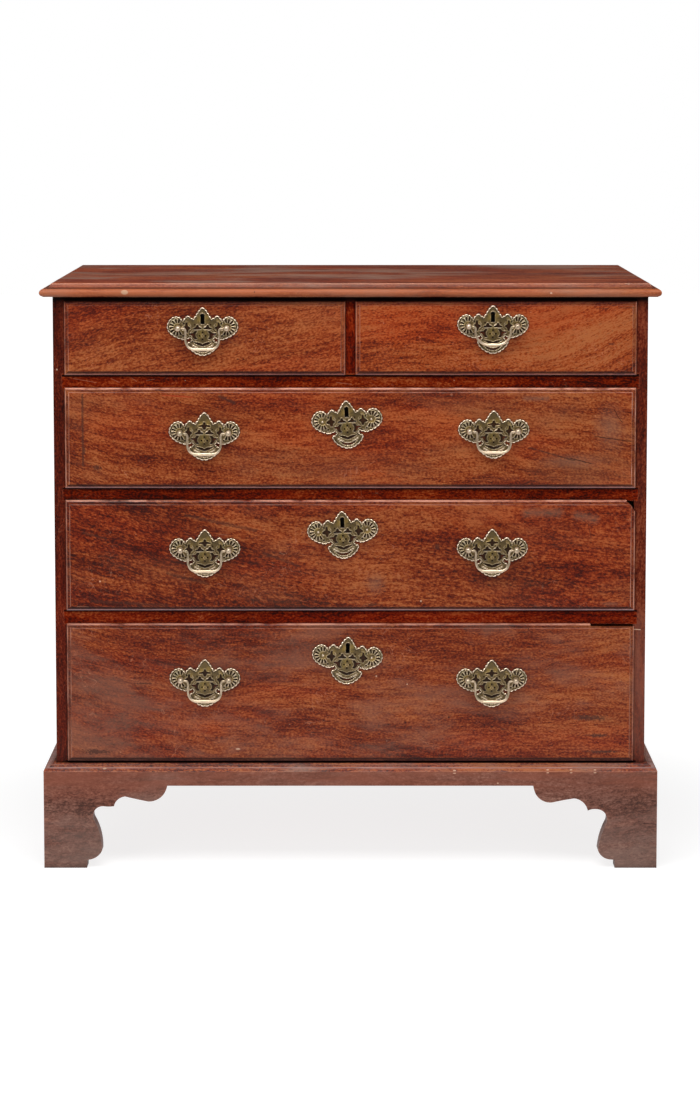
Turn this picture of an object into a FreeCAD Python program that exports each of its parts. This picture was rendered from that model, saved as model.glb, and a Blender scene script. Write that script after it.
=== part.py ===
import FreeCAD, Part
import math
import os

Vector = FreeCAD.Vector

# Chest of drawers with a flat front, in millimetres. +X is the sitter's right as the front is seen,
# the front faces -Y, +Z is up, and the floor is at Z = 0.

# Plinth and bracket feet
plinth_height = 155.1
plinth_thickness = 25.0
plinth_projection = 19.0          # plinth face in front of the case face
apron_height = 22.2               # depth of the plinth rail between two brackets
bracket_width = 196.0             # foot's outer edge to the end of its bracket
rear_foot_width = 112.0
rear_foot_toe = 64.0              # width of a rear foot at the floor
rear_foot_thickness = 18.0
base_moulding_height = 10.9
glue_block_size = 20.0
glue_block_length = 96.0
corner_block_size = 36.0
corner_block_lift = 6.0           # corner blocks stop short of the floor

# Carcase
case_width = 936.0
case_depth = 458.0
side_thickness = 19.5
housing_depth = 6.0               # rails, dustboards and bottom board enter the sides this far
bottom_thickness = 15.8
rail_depth = 60.0
dustboard_thickness = 9.0
back_thickness = 12.0
back_rebate = 10.0                # how far the back boards lap onto each side
back_board_count = 3
back_board_gap = 0.5
divider_width = 19.0              # upright between the two short drawers
partition_thickness = 12.0

# Drawer rows, from the lowest up, in proportion to each other. They share out the height that the
# plinth, the bottom, the rails and the top leave.
overall_height = 931.5
row_proportions = (218.2, 172.9, 155.6, 113.5)
lower_rail_thickness = 24.5       # over the lower long drawer, and so on up
middle_rail_thickness = 22.6
upper_rail_thickness = 23.7
top_rail_thickness = 8.6

# Top board
top_thickness = 21.0
top_overhang = 19.0               # past the case at the front and at both sides, flush at the back

# Drawers
lip_lap = 1.5                     # lip over the case at the top and at both ends
lip_lap_below = 2.0
lip_thickness = 6.0
lip_round = 4.7                   # quarter round that runs along the lip's edge
lip_border = 6.4                  # lip's edge to the raised field
field_rise = 2.0
field_round = 1.0
front_tongue = 14.0               # thickness of the front behind the case face
front_end_clearance = 1.2
front_top_clearance = 1.5
running_clearance = 0.3
box_side_thickness = 9.0
box_side_drop = 4.5               # box sides below the top of the front's tongue
box_back_drop = 6.0               # box back below the box sides
box_bottom_thickness = 7.0
box_bottom_lift = 9.0             # underside of the box bottom above the sides' lower edges
groove_depth = 4.5
drawer_back_gap = 14.0            # closed drawer to the back boards
tail_pitch = 38.0
tail_width = 20.0
tail_flare = 3.0                  # how much wider a tail is at each side of its tip
lap_thickness = 4.0               # wood left in front of the dovetails

# Brasses
plate_thickness = 1.6
bore_spacing = 76.2               # between a handle's two posts
post_radius = 2.2
post_clearance = 0.1
collar_radius = 4.4
collar_thickness = 1.0
neck_radius = 2.6
pommel_radius = 4.7
pommel_standoff = 9.5             # plate face to pommel centre
nut_size = 10.0
nut_thickness = 4.0
post_end = 2.0                    # thread past the nut
pin_radius = 1.6
pin_clearance = 0.05
pin_past_centre = 3.0
pin_end_gap = 0.3
bail_shoulder_gap = 0.35
bail_end_radius = 1.75
bail_middle_radius = 2.6
bail_half_width = 26.2
bail_bend = 4.0                   # radius where the bail turns down beside a pommel
bail_corner = 14.5                # radius where a leg turns into the grip
bail_drop = 32.7                  # pin line to the middle of the grip
round_bail_half_width = 27.6      # one drawer has a rounder and shallower bail than the others
round_bail_corner = 21.0
round_bail_drop = 28.6
round_bail_drawer = "short_right"
tack_place = (38.6, 1.4)          # tacks of a keyhole plate, across from its middle and up
tack_head_radius = 1.9
tack_radius = 0.7
tack_clearance = 0.05
tack_length = 9.0                 # plate's face to the tack's point
keyhole_rise = 14.5               # keyhole above the middle of its plate
keyhole_radius = 3.4
keyhole_length = 16.4
keyhole_foot = 6.0                # width of the keyhole's lower end

# Locks
lock_width = 60.0
lock_depth = 10.5
lock_wall = 1.5
lock_below_key = 16.0
bolt_width = 24.0
bolt_thickness = 5.0
bolt_length = 20.0
bolt_clearance = 0.3
bolt_throw = 7.5
mortise_clearance = 1.0

# Broken places, both at the upper right corner of a front. Each outline runs from the far end of the
# break to the right edge, as shares of its width leftwards and of its height downwards.
broken_corner_width = 14.0        # lost from the middle long drawer
broken_corner_height = 17.5
broken_corner_outline = [(1.0, 0.12), (0.76, 0.24), (0.52, 0.45), (0.32, 0.70), (0.08, 1.0)]
lost_strip_width = 70.5           # lost from the lower long drawer's upper edge
lost_strip_height = 4.9
lost_strip_outline = [(0.985, 0.70), (0.94, 0.92), (0.62, 1.0), (0.36, 0.96), (0.12, 1.0), (0.0, 0.96)]
break_margin = 1.0                # the cutter stands this far outside the lip

# Where each plate sits: across from the middle of the chest, and up from the middle of its drawer.
# The middle plate of a long drawer, and the only one of a short drawer, has the keyhole. The third
# number is how far the plate has turned on its tacks, in degrees, left wing down.
short_left_plates = [(-232.0, 16.2, 0.0)]
short_right_plates = [(223.5, 19.4, 0.0)]
upper_long_plates = [(-230.0, 8.9, 0.0), (-5.4, 27.6, 3.4), (225.5, 11.8, 0.0)]
middle_long_plates = [(-230.0, 9.7, 0.0), (-12.2, 39.0, 2.9), (224.0, 10.4, 0.0)]
lower_long_plates = [(-230.8, 21.8, 0.0), (-4.9, 58.0, -2.8), (224.0, 21.2, 0.0)]

# Bracket outlines from the foot's inner corner up to the apron, as shares of the bracket's width and
# of the height under the apron. The first step is where the outline starts; after it a step of one
# point is a straight and a step of two is an arc. The two front brackets were sawn by hand and differ.
left_bracket = [
    [(0.346, 0.000)],
    [(0.349, 0.098)],
    [(0.368, 0.100)],
    [(0.436, 0.145), (0.468, 0.205)],
    [(0.459, 0.365), (0.402, 0.590)],
    [(0.409, 0.694), (0.483, 0.751)],
    [(0.526, 0.746), (0.568, 0.751)],
    [(0.602, 0.834), (0.660, 0.869)],
    [(0.750, 0.838), (0.846, 0.808)],
    [(0.952, 0.864), (1.000, 1.000)],
]
right_bracket = [
    [(0.340, 0.000)],
    [(0.340, 0.098)],
    [(0.369, 0.101)],
    [(0.445, 0.143), (0.475, 0.208)],
    [(0.459, 0.345), (0.407, 0.545)],
    [(0.421, 0.664), (0.495, 0.716)],
    [(0.530, 0.714), (0.561, 0.698)],
    [(0.602, 0.801), (0.673, 0.846)],
    [(0.765, 0.823), (0.853, 0.796)],
    [(0.962, 0.855), (1.000, 1.000)],
]

# Mouldings, from the case face outwards and from the lower edge up, as shares of projection and height
base_moulding_steps = [
    [(1.00, 0.00)],
    [(1.00, 0.12)],
    [(0.91, 0.38), (0.71, 0.50)],
    [(0.64, 0.50)],
    [(0.52, 0.57), (0.47, 0.79)],
    [(0.38, 0.79)],
    [(0.33, 0.94), (0.18, 1.00)],
    [(0.00, 1.00)],
]
top_moulding_steps = [
    [(0.74, 0.00)],
    [(0.74, 0.04)],
    [(1.00, 0.31), (0.72, 0.59)],
    [(0.62, 0.59)],
    [(0.62, 0.64)],
    [(0.31, 0.69), (0.16, 0.87)],
    [(0.11, 0.96), (0.00, 1.00)],
]

# Right half of a plate's outline from the apex round to the foot: scallops spring between these points
plate_half_outline = [
    (0.0, 32.9), (4.6, 29.6), (8.0, 24.9), (10.9, 19.8), (14.3, 14.8), (18.2, 16.6), (23.1, 19.8),
    (27.6, 16.4), (31.0, 11.4), (33.6, 15.4), (38.6, 18.2), (44.4, 18.0), (49.9, 14.8), (53.8, 10.0),
    (55.8, 4.2), (55.2, -1.8), (52.0, -7.3), (47.0, -11.6), (41.0, -14.8), (35.0, -17.2),
    (29.4, -18.9), (24.8, -17.6), (19.4, -15.6), (17.4, -18.4), (20.0, -21.2), (24.6, -23.0),
    (23.2, -28.6), (19.2, -33.8), (13.8, -38.3), (7.2, -41.8), (0.0, -43.4),
]
scallop_bulge = 0.13              # rise of a scallop as a share of its chord
# Piercings on the right half, each repeated on the left
plate_side_piercings = [
    [(2.0, -1.8), (14.0, -1.8), (14.4, -0.4), (10.4, 1.2), (8.8, 4.8), (7.4, 4.8), (5.8, 1.4), (2.0, -0.2)],
    [(19.0, -0.4), (20.6, 1.8), (23.0, 2.8), (23.8, 8.4), (26.0, 8.4), (27.2, 3.4), (32.2, 0.0),
     (31.6, -2.2), (27.4, -3.2), (25.6, -7.2), (23.6, -7.2), (22.4, -2.8)],
    [(8.6, -4.8), (12.2, -4.8), (14.8, -8.0), (20.6, -8.6), (21.0, -10.2), (16.4, -11.6), (15.0, -15.0),
     (11.8, -17.8), (8.8, -16.8), (11.2, -13.4), (11.4, -9.4)],
    [(2.8, -12.1), (3.7, -10.6), (5.3, -10.6), (6.2, -12.1), (5.3, -13.6), (3.7, -13.6)],
    [(29.2, -12.2), (29.8, -11.1), (31.0, -11.1), (31.6, -12.2), (31.0, -13.3), (29.8, -13.3)],
    [(28.2, 7.2), (29.3, 9.0), (30.4, 7.2), (29.3, 5.4)],
    [(10.9, 5.4), (12.4, 7.0), (13.9, 5.4), (12.4, 3.8)],
]
plate_middle_piercings = [
    [(-1.7, -6.6), (-0.8, -5.1), (0.8, -5.1), (1.7, -6.6), (0.8, -8.1), (-0.8, -8.1)],
    [(-1.7, -17.6), (-0.8, -16.1), (0.8, -16.1), (1.7, -17.6), (0.8, -19.1), (-0.8, -19.1)],
    [(-14.0, -22.0), (-9.0, -22.6), (-4.0, -23.6), (0.0, -25.8), (4.0, -23.6), (9.0, -22.6), (14.0, -22.0),
     (9.4, -25.2), (5.0, -27.4), (0.0, -28.8), (-5.0, -27.4), (-9.4, -25.2)],
    [(-12.8, -30.8), (-6.4, -33.8), (0.0, -35.0), (6.4, -33.8), (12.8, -30.8), (9.0, -35.0), (4.6, -37.2),
     (0.0, -37.8), (-4.6, -37.2), (-9.0, -35.0)],
]
plain_plate_piercing = [
    (-9.0, 11.4), (-4.0, 12.6), (-1.8, 13.2), (-1.4, 16.4), (1.4, 16.4), (1.8, 13.2), (4.0, 12.6),
    (9.0, 11.4), (9.0, 9.6), (3.0, 9.4), (1.2, 5.4), (-1.2, 5.4), (-3.0, 9.4), (-9.0, 9.6),
]
wing_centre = (38.6, 1.4)
wing_slot_count = 9
wing_slot_first = 100.0           # degrees, turning outwards and down to the last
wing_slot_last = -112.0
wing_slot_inner = 7.0
wing_slot_outer = 12.8
wing_slot_width = 2.2

# Levels and planes that follow from the sizes above
clear_height = (overall_height - plinth_height - bottom_thickness - lower_rail_thickness
                - middle_rail_thickness - upper_rail_thickness - top_rail_thickness - top_thickness)
openings = [clear_height * share / sum(row_proportions) for share in row_proportions]
lower_opening, middle_opening, upper_opening, short_opening = openings
bottom_level = plinth_height + bottom_thickness
lower_rail_level = bottom_level + lower_opening
middle_level = lower_rail_level + lower_rail_thickness
middle_rail_level = middle_level + middle_opening
upper_level = middle_rail_level + middle_rail_thickness
upper_rail_level = upper_level + upper_opening
short_level = upper_rail_level + upper_rail_thickness
top_rail_level = short_level + short_opening
top_level = top_rail_level + top_rail_thickness

field_reach = lip_thickness + field_rise
plate_reach = field_reach + plate_thickness
pommel_line = plate_reach + pommel_standoff
front_reach = max(pommel_line + pommel_radius, top_overhang, plinth_projection)
case_front = (front_reach - case_depth) / 2
case_back = case_front + case_depth
case_half = case_width / 2
opening_half = case_half - side_thickness
back_face = case_back - back_thickness
drawer_back = back_face - drawer_back_gap


def box(x_low, x_high, y_low, y_high, z_low, z_high):
    size = (x_high - x_low, y_high - y_low, z_high - z_low)
    return Part.makeBox(*size, Vector(x_low, y_low, z_low))


def mirrored(shape):
    return shape.mirror(Vector(0, 0, 0), Vector(1, 0, 0))


def moved(shape, x=0.0, y=0.0, z=0.0):
    copy = shape.copy()
    copy.translate(Vector(x, y, z))
    return copy


def joined(first, *others):
    return first.fuse(list(others)).removeSplitter()


def closed_face(start, steps, place):
    """Face inside a closed outline. place turns a pair of numbers into a point in space."""
    edges = []
    here = start
    for step in steps:
        if len(step) == 1:
            edges.append(Part.makeLine(place(*here), place(*step[0])))
        else:
            edges.append(Part.Arc(place(*here), place(*step[0]), place(*step[1])).toShape())
        here = step[-1]
    if here != start:
        edges.append(Part.makeLine(place(*here), place(*start)))
    return Part.Face(Part.Wire(edges))


def polygon_face(points, place):
    return closed_face(points[0], [[point] for point in points[1:]], place)


def plan_prism(points, z_low, z_high):
    face = polygon_face(points, lambda x, y: Vector(x, y, z_low))
    return face.extrude(Vector(0, 0, z_high - z_low))


# ---------------------------------------------------------------- plinth and mouldings

def mitre_plans(inner, outer):
    """Plans of a front run and a right run whose ends meet on the corner's diagonal."""
    near, far = case_half + inner, case_half + outer
    front_near, front_far = case_front - inner, case_front - outer
    front = [(-near, front_near), (near, front_near), (far, front_far), (-far, front_far)]
    right = [(near, front_near), (far, front_far), (far, case_back), (near, case_back)]
    return front, right


def moulding_runs(steps, projection, level, height):
    """Front, left and right lengths of a moulding, mitred at the front corners."""
    scaled = [[(d * projection, h * height) for d, h in step] for step in steps]
    front_plan, right_plan = mitre_plans(0.0, projection)
    reach = case_half + projection
    section = closed_face((0.0, 0.0), scaled, lambda d, h: Vector(-reach, case_front - d, level + h))
    front = section.extrude(Vector(2 * reach, 0, 0)).common(plan_prism(front_plan, level, level + height))
    ahead = case_front - projection
    section = closed_face((0.0, 0.0), scaled, lambda d, h: Vector(case_half + d, ahead, level + h))
    right = section.extrude(Vector(0, case_back - ahead, 0))
    right = right.common(plan_prism(right_plan, level, level + height))
    return front.Solids[0], mirrored(right).Solids[0], right.Solids[0]


def plinth_outline(length, near_bracket, far_bracket):
    """Outline of a plinth board with a bracket foot at each end, from the near foot's inner corner."""
    rise = plinth_height - apron_height

    def sized(bracket):
        return [[(across * bracket_width, up * rise) for across, up in step] for step in bracket]

    def opposite(point):
        return length - point[0], point[1]

    start, *climb = sized(near_bracket)
    far = sized(far_bracket)
    across = [[opposite(far[-1][-1])]]
    descent = []
    for number in range(len(far) - 1, 0, -1):
        back = far[number][:-1] + [far[number - 1][-1]]
        descent.append([opposite(point) for point in back])
    around = [[(length, 0.0)], [(length, plinth_height)], [(0.0, plinth_height)], [(0.0, 0.0)]]
    return start[0], climb + across + descent + around


def plinth_boards():
    front_plan, right_plan = mitre_plans(plinth_projection - plinth_thickness, plinth_projection)
    outer = case_half + plinth_projection
    ahead = case_front - plinth_projection
    start, steps = plinth_outline(2 * outer, left_bracket, right_bracket)
    front = closed_face(start, steps, lambda s, z: Vector(s - outer, ahead, z))
    front = front.extrude(Vector(0, plinth_thickness, 0)).common(plan_prism(front_plan, 0.0, plinth_height))
    start, steps = plinth_outline(case_back - ahead, left_bracket, left_bracket)
    right = closed_face(start, steps, lambda s, z: Vector(outer, ahead + s, z))
    right = right.extrude(Vector(-plinth_thickness, 0, 0)).common(plan_prism(right_plan, 0.0, plinth_height))
    return front.Solids[0], mirrored(right).Solids[0], right.Solids[0]


def rear_feet():
    inner = case_half + plinth_projection - plinth_thickness
    near = case_back - rear_foot_thickness
    points = [(inner, 0.0), (inner, plinth_height), (inner - rear_foot_width, plinth_height),
              (inner - rear_foot_width, plinth_height - apron_height), (inner - rear_foot_toe, 0.0)]
    foot = polygon_face(points, lambda x, z: Vector(x, near, z)).extrude(Vector(0, rear_foot_thickness, 0))
    return [mirrored(foot), foot]


def glue_blocks():
    inner_x = case_half + plinth_projection - plinth_thickness
    inner_y = case_front - plinth_projection + plinth_thickness
    rear_y = case_back - rear_foot_thickness
    low = plinth_height - glue_block_size
    blocks = []
    for side in (-1, 1):
        for y_low in (inner_y, rear_y - corner_block_size):
            block = box(inner_x - corner_block_size, inner_x, y_low, y_low + corner_block_size,
                        corner_block_lift, plinth_height)
            blocks.append(block if side > 0 else mirrored(block))
        for middle in spread(inner_y + corner_block_size, rear_y - corner_block_size, 2):
            block = box(inner_x - glue_block_size, inner_x, middle - glue_block_length / 2,
                        middle + glue_block_length / 2, low, plinth_height)
            blocks.append(block if side > 0 else mirrored(block))
    for middle in spread(corner_block_size - inner_x, inner_x - corner_block_size, 4):
        blocks.append(box(middle - glue_block_length / 2, middle + glue_block_length / 2,
                          inner_y, inner_y + glue_block_size, low, plinth_height))
    return blocks


def spread(low, high, count):
    """Middles of count equal stretches between low and high."""
    step = (high - low) / count
    return [low + step * (number + 0.5) for number in range(count)]


# ---------------------------------------------------------------- carcase

def rail(level, thickness):
    reach = opening_half + housing_depth
    return box(-reach, reach, case_front, case_front + rail_depth, level, level + thickness)


def lock_mortise(key_x, level):
    """Slot in the rail above a drawer, where the lock's bolt enters."""
    half = bolt_width / 2 + mortise_clearance
    bolt_back, bolt_front = bolt_span()
    return box(key_x - half, key_x + half, bolt_front - mortise_clearance, bolt_back + mortise_clearance,
               level, level + bolt_throw - front_top_clearance + mortise_clearance)


def mortised_rail(level, thickness, drawers_below):
    slots = [lock_mortise(drawer["key_x"], level) for drawer in drawers_below]
    return rail(level, thickness).cut(slots).Solids[0]


def dustboard(top):
    reach = opening_half + housing_depth
    return box(-reach, reach, case_front + rail_depth, back_face, top - dustboard_thickness, top)


def bottom_board():
    reach = opening_half + housing_depth
    return box(-reach, reach, case_front, back_face, plinth_height, bottom_level)


def back_boards():
    reach = opening_half + back_rebate
    width = (2 * reach - back_board_gap * (back_board_count - 1)) / back_board_count
    boards = []
    for number in range(back_board_count):
        left = -reach + number * (width + back_board_gap)
        boards.append(box(left, left + width, back_face, case_back, plinth_height, top_level))
    return boards


def case_side(housed):
    """Right side with a housing for each piece that enters it and a rebate for the back."""
    side = box(opening_half, case_half, case_front, case_back, plinth_height, top_level)
    rebate = box(opening_half, opening_half + back_rebate, back_face, case_back, plinth_height, top_level)
    return side.cut(housed + [rebate]).Solids[0]


def top_board():
    slab = box(-case_half, case_half, case_front, case_back, top_level, overall_height)
    runs = moulding_runs(top_moulding_steps, top_overhang, top_level, top_thickness)
    return joined(slab, *runs)


# ---------------------------------------------------------------- drawers

def drawer(name, x_low, x_high, z_low, z_high, plates, lock_plate):
    """Everything that a drawer's pieces need to know about their place."""
    middle = (z_low - lip_lap_below + z_high + lip_lap) / 2
    placed = [(x, middle + up, turn) for x, up, turn in plates]
    key_x, key_z = on_plate(placed[lock_plate], 0.0, keyhole_rise)
    handles = [(x, z) for x, z, turn in placed]
    tacks = []
    if len(plates) > 1:
        handles.pop(lock_plate)
        tacks = [on_plate(placed[lock_plate], side * tack_place[0], tack_place[1]) for side in (-1, 1)]
    return {
        "name": name, "x_low": x_low, "x_high": x_high, "z_low": z_low, "z_high": z_high,
        "plates": placed, "lock_plate": lock_plate, "handles": handles, "tacks": tacks,
        "key_x": key_x, "key_z": key_z,
        "tongue_left": x_low + front_end_clearance, "tongue_right": x_high - front_end_clearance,
        "tongue_top": z_high - front_top_clearance, "box_low": z_low + running_clearance,
        "box_high": z_high - front_top_clearance - box_side_drop,
    }


def on_plate(place, across, up):
    """Where a point of a plate comes once the plate is in its place and turned."""
    x, z, turn = place
    cosine, sine = math.cos(math.radians(turn)), math.sin(math.radians(turn))
    return x + across * cosine - up * sine, z + across * sine + up * cosine


def front_blank(d):
    """Lipped front before any joint is cut: tongue, lip with a quarter round, and raised field."""
    left, right = d["x_low"] - lip_lap, d["x_high"] + lip_lap
    low, high = d["z_low"] - lip_lap_below, d["z_high"] + lip_lap
    tongue = box(d["tongue_left"], d["tongue_right"], case_front, case_front + front_tongue,
                 d["box_low"], d["tongue_top"])
    lip = box(left, right, case_front - lip_thickness, case_front, low, high)
    lip = lip.makeFillet(lip_round, edges_at(lip, case_front - lip_thickness))
    field = box(left + lip_border, right - lip_border, case_front - field_reach, case_front - lip_thickness,
                low + lip_border, high - lip_border)
    field = field.makeFillet(field_round, edges_at(field, case_front - field_reach))
    return joined(lip, tongue, field)


def edges_at(shape, y):
    """Edges of a shape that lie in one plane across the chest."""
    return [edge for edge in shape.Edges if all(abs(v.Y - y) < 0.001 for v in edge.Vertexes)]


def tail(x_low, x_high, y_root, y_tip, z_middle):
    """One dovetail, wider at its tip."""
    root, tip = tail_width / 2, tail_width / 2 + tail_flare
    below = [(y_root, z_middle - root), (y_tip, z_middle - tip)]
    above = [(y_tip, z_middle + tip), (y_root, z_middle + root)]
    return polygon_face(below + above, lambda y, z: Vector(x_low, y, z)).extrude(Vector(x_high - x_low, 0, 0))


def tails(d, x_low, x_high, y_root, y_tip, z_low, z_high):
    count = max(2, round((z_high - z_low) / tail_pitch))
    return [tail(x_low, x_high, y_root, y_tip, z) for z in spread(z_low, z_high, count)]


def box_side_spans(d):
    left = (d["tongue_left"], d["tongue_left"] + box_side_thickness)
    right = (d["tongue_right"] - box_side_thickness, d["tongue_right"])
    return left, right


def front_tails(d):
    """Tails of both box sides that enter the front."""
    root = case_front + front_tongue
    found = []
    for x_low, x_high in box_side_spans(d):
        found += tails(d, x_low, x_high, root, case_front + lap_thickness, d["box_low"], d["box_high"])
    return found


def back_tails(d, x_low, x_high):
    """Tails of one box side that pass through the box back."""
    low = d["box_low"] + box_bottom_lift + box_bottom_thickness
    return tails(d, x_low, x_high, drawer_back - box_side_thickness, drawer_back, low,
                 d["box_high"] - box_back_drop)


def drawer_bottom(d):
    low = d["box_low"] + box_bottom_lift
    inset = box_side_thickness - groove_depth
    return box(d["tongue_left"] + inset, d["tongue_right"] - inset,
               case_front + front_tongue - groove_depth, drawer_back, low, low + box_bottom_thickness)


def drawer_box(d):
    """Two sides and a back, dovetailed together and grooved for the bottom."""
    bottom = drawer_bottom(d)
    root = case_front + front_tongue
    back_root = drawer_back - box_side_thickness
    back_low = d["box_low"] + box_bottom_lift + box_bottom_thickness
    back = box(d["tongue_left"], d["tongue_right"], back_root, drawer_back, back_low,
               d["box_high"] - box_back_drop)
    sides = []
    for x_low, x_high in box_side_spans(d):
        through = back_tails(d, x_low, x_high)
        back = back.cut(through)
        board = box(x_low, x_high, root, back_root, d["box_low"], d["box_high"])
        lapped = tails(d, x_low, x_high, root, case_front + lap_thickness, d["box_low"], d["box_high"])
        sides.append(joined(board, *lapped, *through).cut(bottom).Solids[0])
    return sides + [back.Solids[0]]


def keyhole(key_x, key_z, y_low, y_high):
    """Round above, tapering below."""
    top = key_z + keyhole_length / 2
    shoulder = top - 1.5 * keyhole_radius
    half = keyhole_radius * math.sqrt(0.75)
    foot = keyhole_foot / 2
    steps = [[(0.0, top), (half, shoulder)], [(foot, top - keyhole_length)], [(-foot, top - keyhole_length)]]
    face = closed_face((-half, shoulder), steps, lambda x, z: Vector(key_x + x, y_low, z))
    return face.extrude(Vector(0, y_high - y_low, 0))


def post_bores(d):
    radius = post_radius + post_clearance
    length = field_reach + front_tongue
    bores = []
    for x, z in d["handles"]:
        for side in (-1, 1):
            start = Vector(x + side * bore_spacing / 2, case_front - field_reach, z)
            bores.append(Part.makeCylinder(radius, length, start, Vector(0, 1, 0)))
    return bores


def tack_bores(d, length):
    """Bores for a keyhole plate's tacks, from the plate's face inwards."""
    return [Part.makeCylinder(tack_radius + tack_clearance, length, Vector(x, case_front - plate_reach, z),
                              Vector(0, 1, 0)) for x, z in d["tacks"]]


def drawer_front(d):
    hole = keyhole(d["key_x"], d["key_z"], case_front - field_reach, case_front + front_tongue)
    cuts = front_tails(d) + post_bores(d) + tack_bores(d, tack_length)
    cuts += [drawer_bottom(d), lock_envelope(d), hole]
    return front_blank(d).cut(cuts + breaks_of(d)).Solids[0]


def broken_corner(d, width, height, outline):
    """Ragged piece lost from the upper right corner of a front, through its whole thickness."""
    right, high = d["x_high"] + lip_lap, d["z_high"] + lip_lap
    points = [(right + break_margin, high + break_margin), (right - width, high + break_margin)]
    points += [(right - across * width, high - down * height) for across, down in outline]
    points.append((right + break_margin, points[-1][1]))
    face = polygon_face(points, lambda x, z: Vector(x, case_front - field_reach, z))
    return face.extrude(Vector(0, field_reach + front_tongue, 0))


def breaks_of(d):
    """What is cut from a drawer's front where it is damaged."""
    if d["name"] == "middle_long":
        return [broken_corner(d, broken_corner_width, broken_corner_height, broken_corner_outline)]
    if d["name"] == "lower_long":
        return [broken_corner(d, lost_strip_width, lost_strip_height, lost_strip_outline)]
    return []


# ---------------------------------------------------------------- locks

def bolt_span():
    """Back and front planes of every bolt, in the middle of the lock's depth."""
    middle = case_front + front_tongue - lock_depth / 2
    return middle + bolt_thickness / 2, middle - bolt_thickness / 2


def lock_envelope(d):
    low = d["key_z"] - lock_below_key
    return box(d["key_x"] - lock_width / 2, d["key_x"] + lock_width / 2,
               case_front + front_tongue - lock_depth, case_front + front_tongue, low, d["tongue_top"])


def lock_case(d):
    """Iron box let into the back of a front, with a slot for the bolt and a keyhole."""
    low, high = d["key_z"] - lock_below_key, d["tongue_top"]
    back, front = case_front + front_tongue, case_front + front_tongue - lock_depth
    half = lock_width / 2
    hollow = box(d["key_x"] - half + lock_wall, d["key_x"] + half - lock_wall,
                 front + lock_wall, back - lock_wall, low + lock_wall, high - lock_wall)
    reach = bolt_width / 2 + bolt_clearance
    bolt_back, bolt_front = bolt_span()
    slot = box(d["key_x"] - reach, d["key_x"] + reach, bolt_front - bolt_clearance,
               bolt_back + bolt_clearance, high - lock_wall, high)
    hole = keyhole(d["key_x"], d["key_z"], front, front + lock_wall)
    return lock_envelope(d).cut([hollow, slot, hole]).Solids[0]


def lock_bolt(d):
    """Bolt in its drawn-back place, its end level with the lock's top."""
    bolt_back, bolt_front = bolt_span()
    half = bolt_width / 2
    return box(d["key_x"] - half, d["key_x"] + half, bolt_front, bolt_back,
               d["tongue_top"] - bolt_length, d["tongue_top"])


# ---------------------------------------------------------------- brasses

def scalloped_outline(half_outline, place):
    """Closed wire with an outward scallop between neighbouring points, the same on both halves."""
    points = half_outline + [(-x, z) for x, z in reversed(half_outline[1:-1])]
    edges = []
    for number, (x, z) in enumerate(points):
        next_x, next_z = points[(number + 1) % len(points)]
        crown = ((x + next_x) / 2 - scallop_bulge * (next_z - z),
                 (z + next_z) / 2 + scallop_bulge * (next_x - x))
        edges.append(Part.Arc(place(x, z), place(*crown), place(next_x, next_z)).toShape())
    return Part.Wire(edges)


def wing_slots():
    """Slots that fan out over the shell of the right wing."""
    turn = (wing_slot_last - wing_slot_first) / (wing_slot_count - 1)
    slots = []
    for number in range(wing_slot_count):
        angle = math.radians(wing_slot_first + turn * number)
        along, across = (math.cos(angle), math.sin(angle)), (-math.sin(angle), math.cos(angle))
        near, far = wing_slot_inner, wing_slot_outer
        corners = []
        for reach, share in ((near, -0.3), (far, -0.5), (far, 0.5), (near, 0.3)):
            aside = share * wing_slot_width
            corners.append((wing_centre[0] + along[0] * reach + across[0] * aside,
                            wing_centre[1] + along[1] * reach + across[1] * aside))
        slots.append(corners)
    return slots


def plate(keyed):
    """Pierced backplate with its middle at the origin and its back at Y = 0."""
    def place(x, z):
        return Vector(x, 0, z)

    depth = Vector(0, -plate_thickness, 0)
    body = Part.Face(scalloped_outline(plate_half_outline, place)).extrude(depth)
    side_holes = plate_side_piercings + wing_slots()
    holes = [polygon_face(points, place).extrude(depth) for points in side_holes + plate_middle_piercings]
    holes += [mirrored(hole) for hole in holes[:len(side_holes)]]
    if keyed:
        holes.append(keyhole(0.0, keyhole_rise, -plate_thickness, 0.0))
    else:
        holes.append(polygon_face(plain_plate_piercing, place).extrude(depth))
    return body.cut(holes).Solids[0]


def brass_plates(d, keyed_plate, plain_plate):
    """A drawer's plates, and the tacks that hold its keyhole plate."""
    pieces = []
    for number, (x, z, turn) in enumerate(d["plates"]):
        blank = keyed_plate if number == d["lock_plate"] else plain_plate
        turned = blank.copy()
        turned.rotate(Vector(0, 0, 0), Vector(0, 1, 0), -turn)
        placed = moved(turned, x, case_front - field_reach, z)
        bores = plate_bores(x, z) if (x, z) in d["handles"] else tack_bores(d, plate_thickness)
        pieces.append(placed.cut(bores).Solids[0])
    return pieces + [tack(x, z) for x, z in d["tacks"]]


def tack(x, z):
    """Round-headed brass pin."""
    face = Vector(x, case_front - plate_reach, z)
    head = Part.makeSphere(tack_head_radius, face, Vector(0, -1, 0), 0, 90, 360)
    return joined(head, Part.makeCylinder(tack_radius, tack_length, face, Vector(0, 1, 0)))


def plate_bores(x, z):
    start_y = case_front - plate_reach
    return [Part.makeCylinder(post_radius + post_clearance, plate_thickness,
                              Vector(x + side * bore_spacing / 2, start_y, z), Vector(0, 1, 0))
            for side in (-1, 1)]


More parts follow.
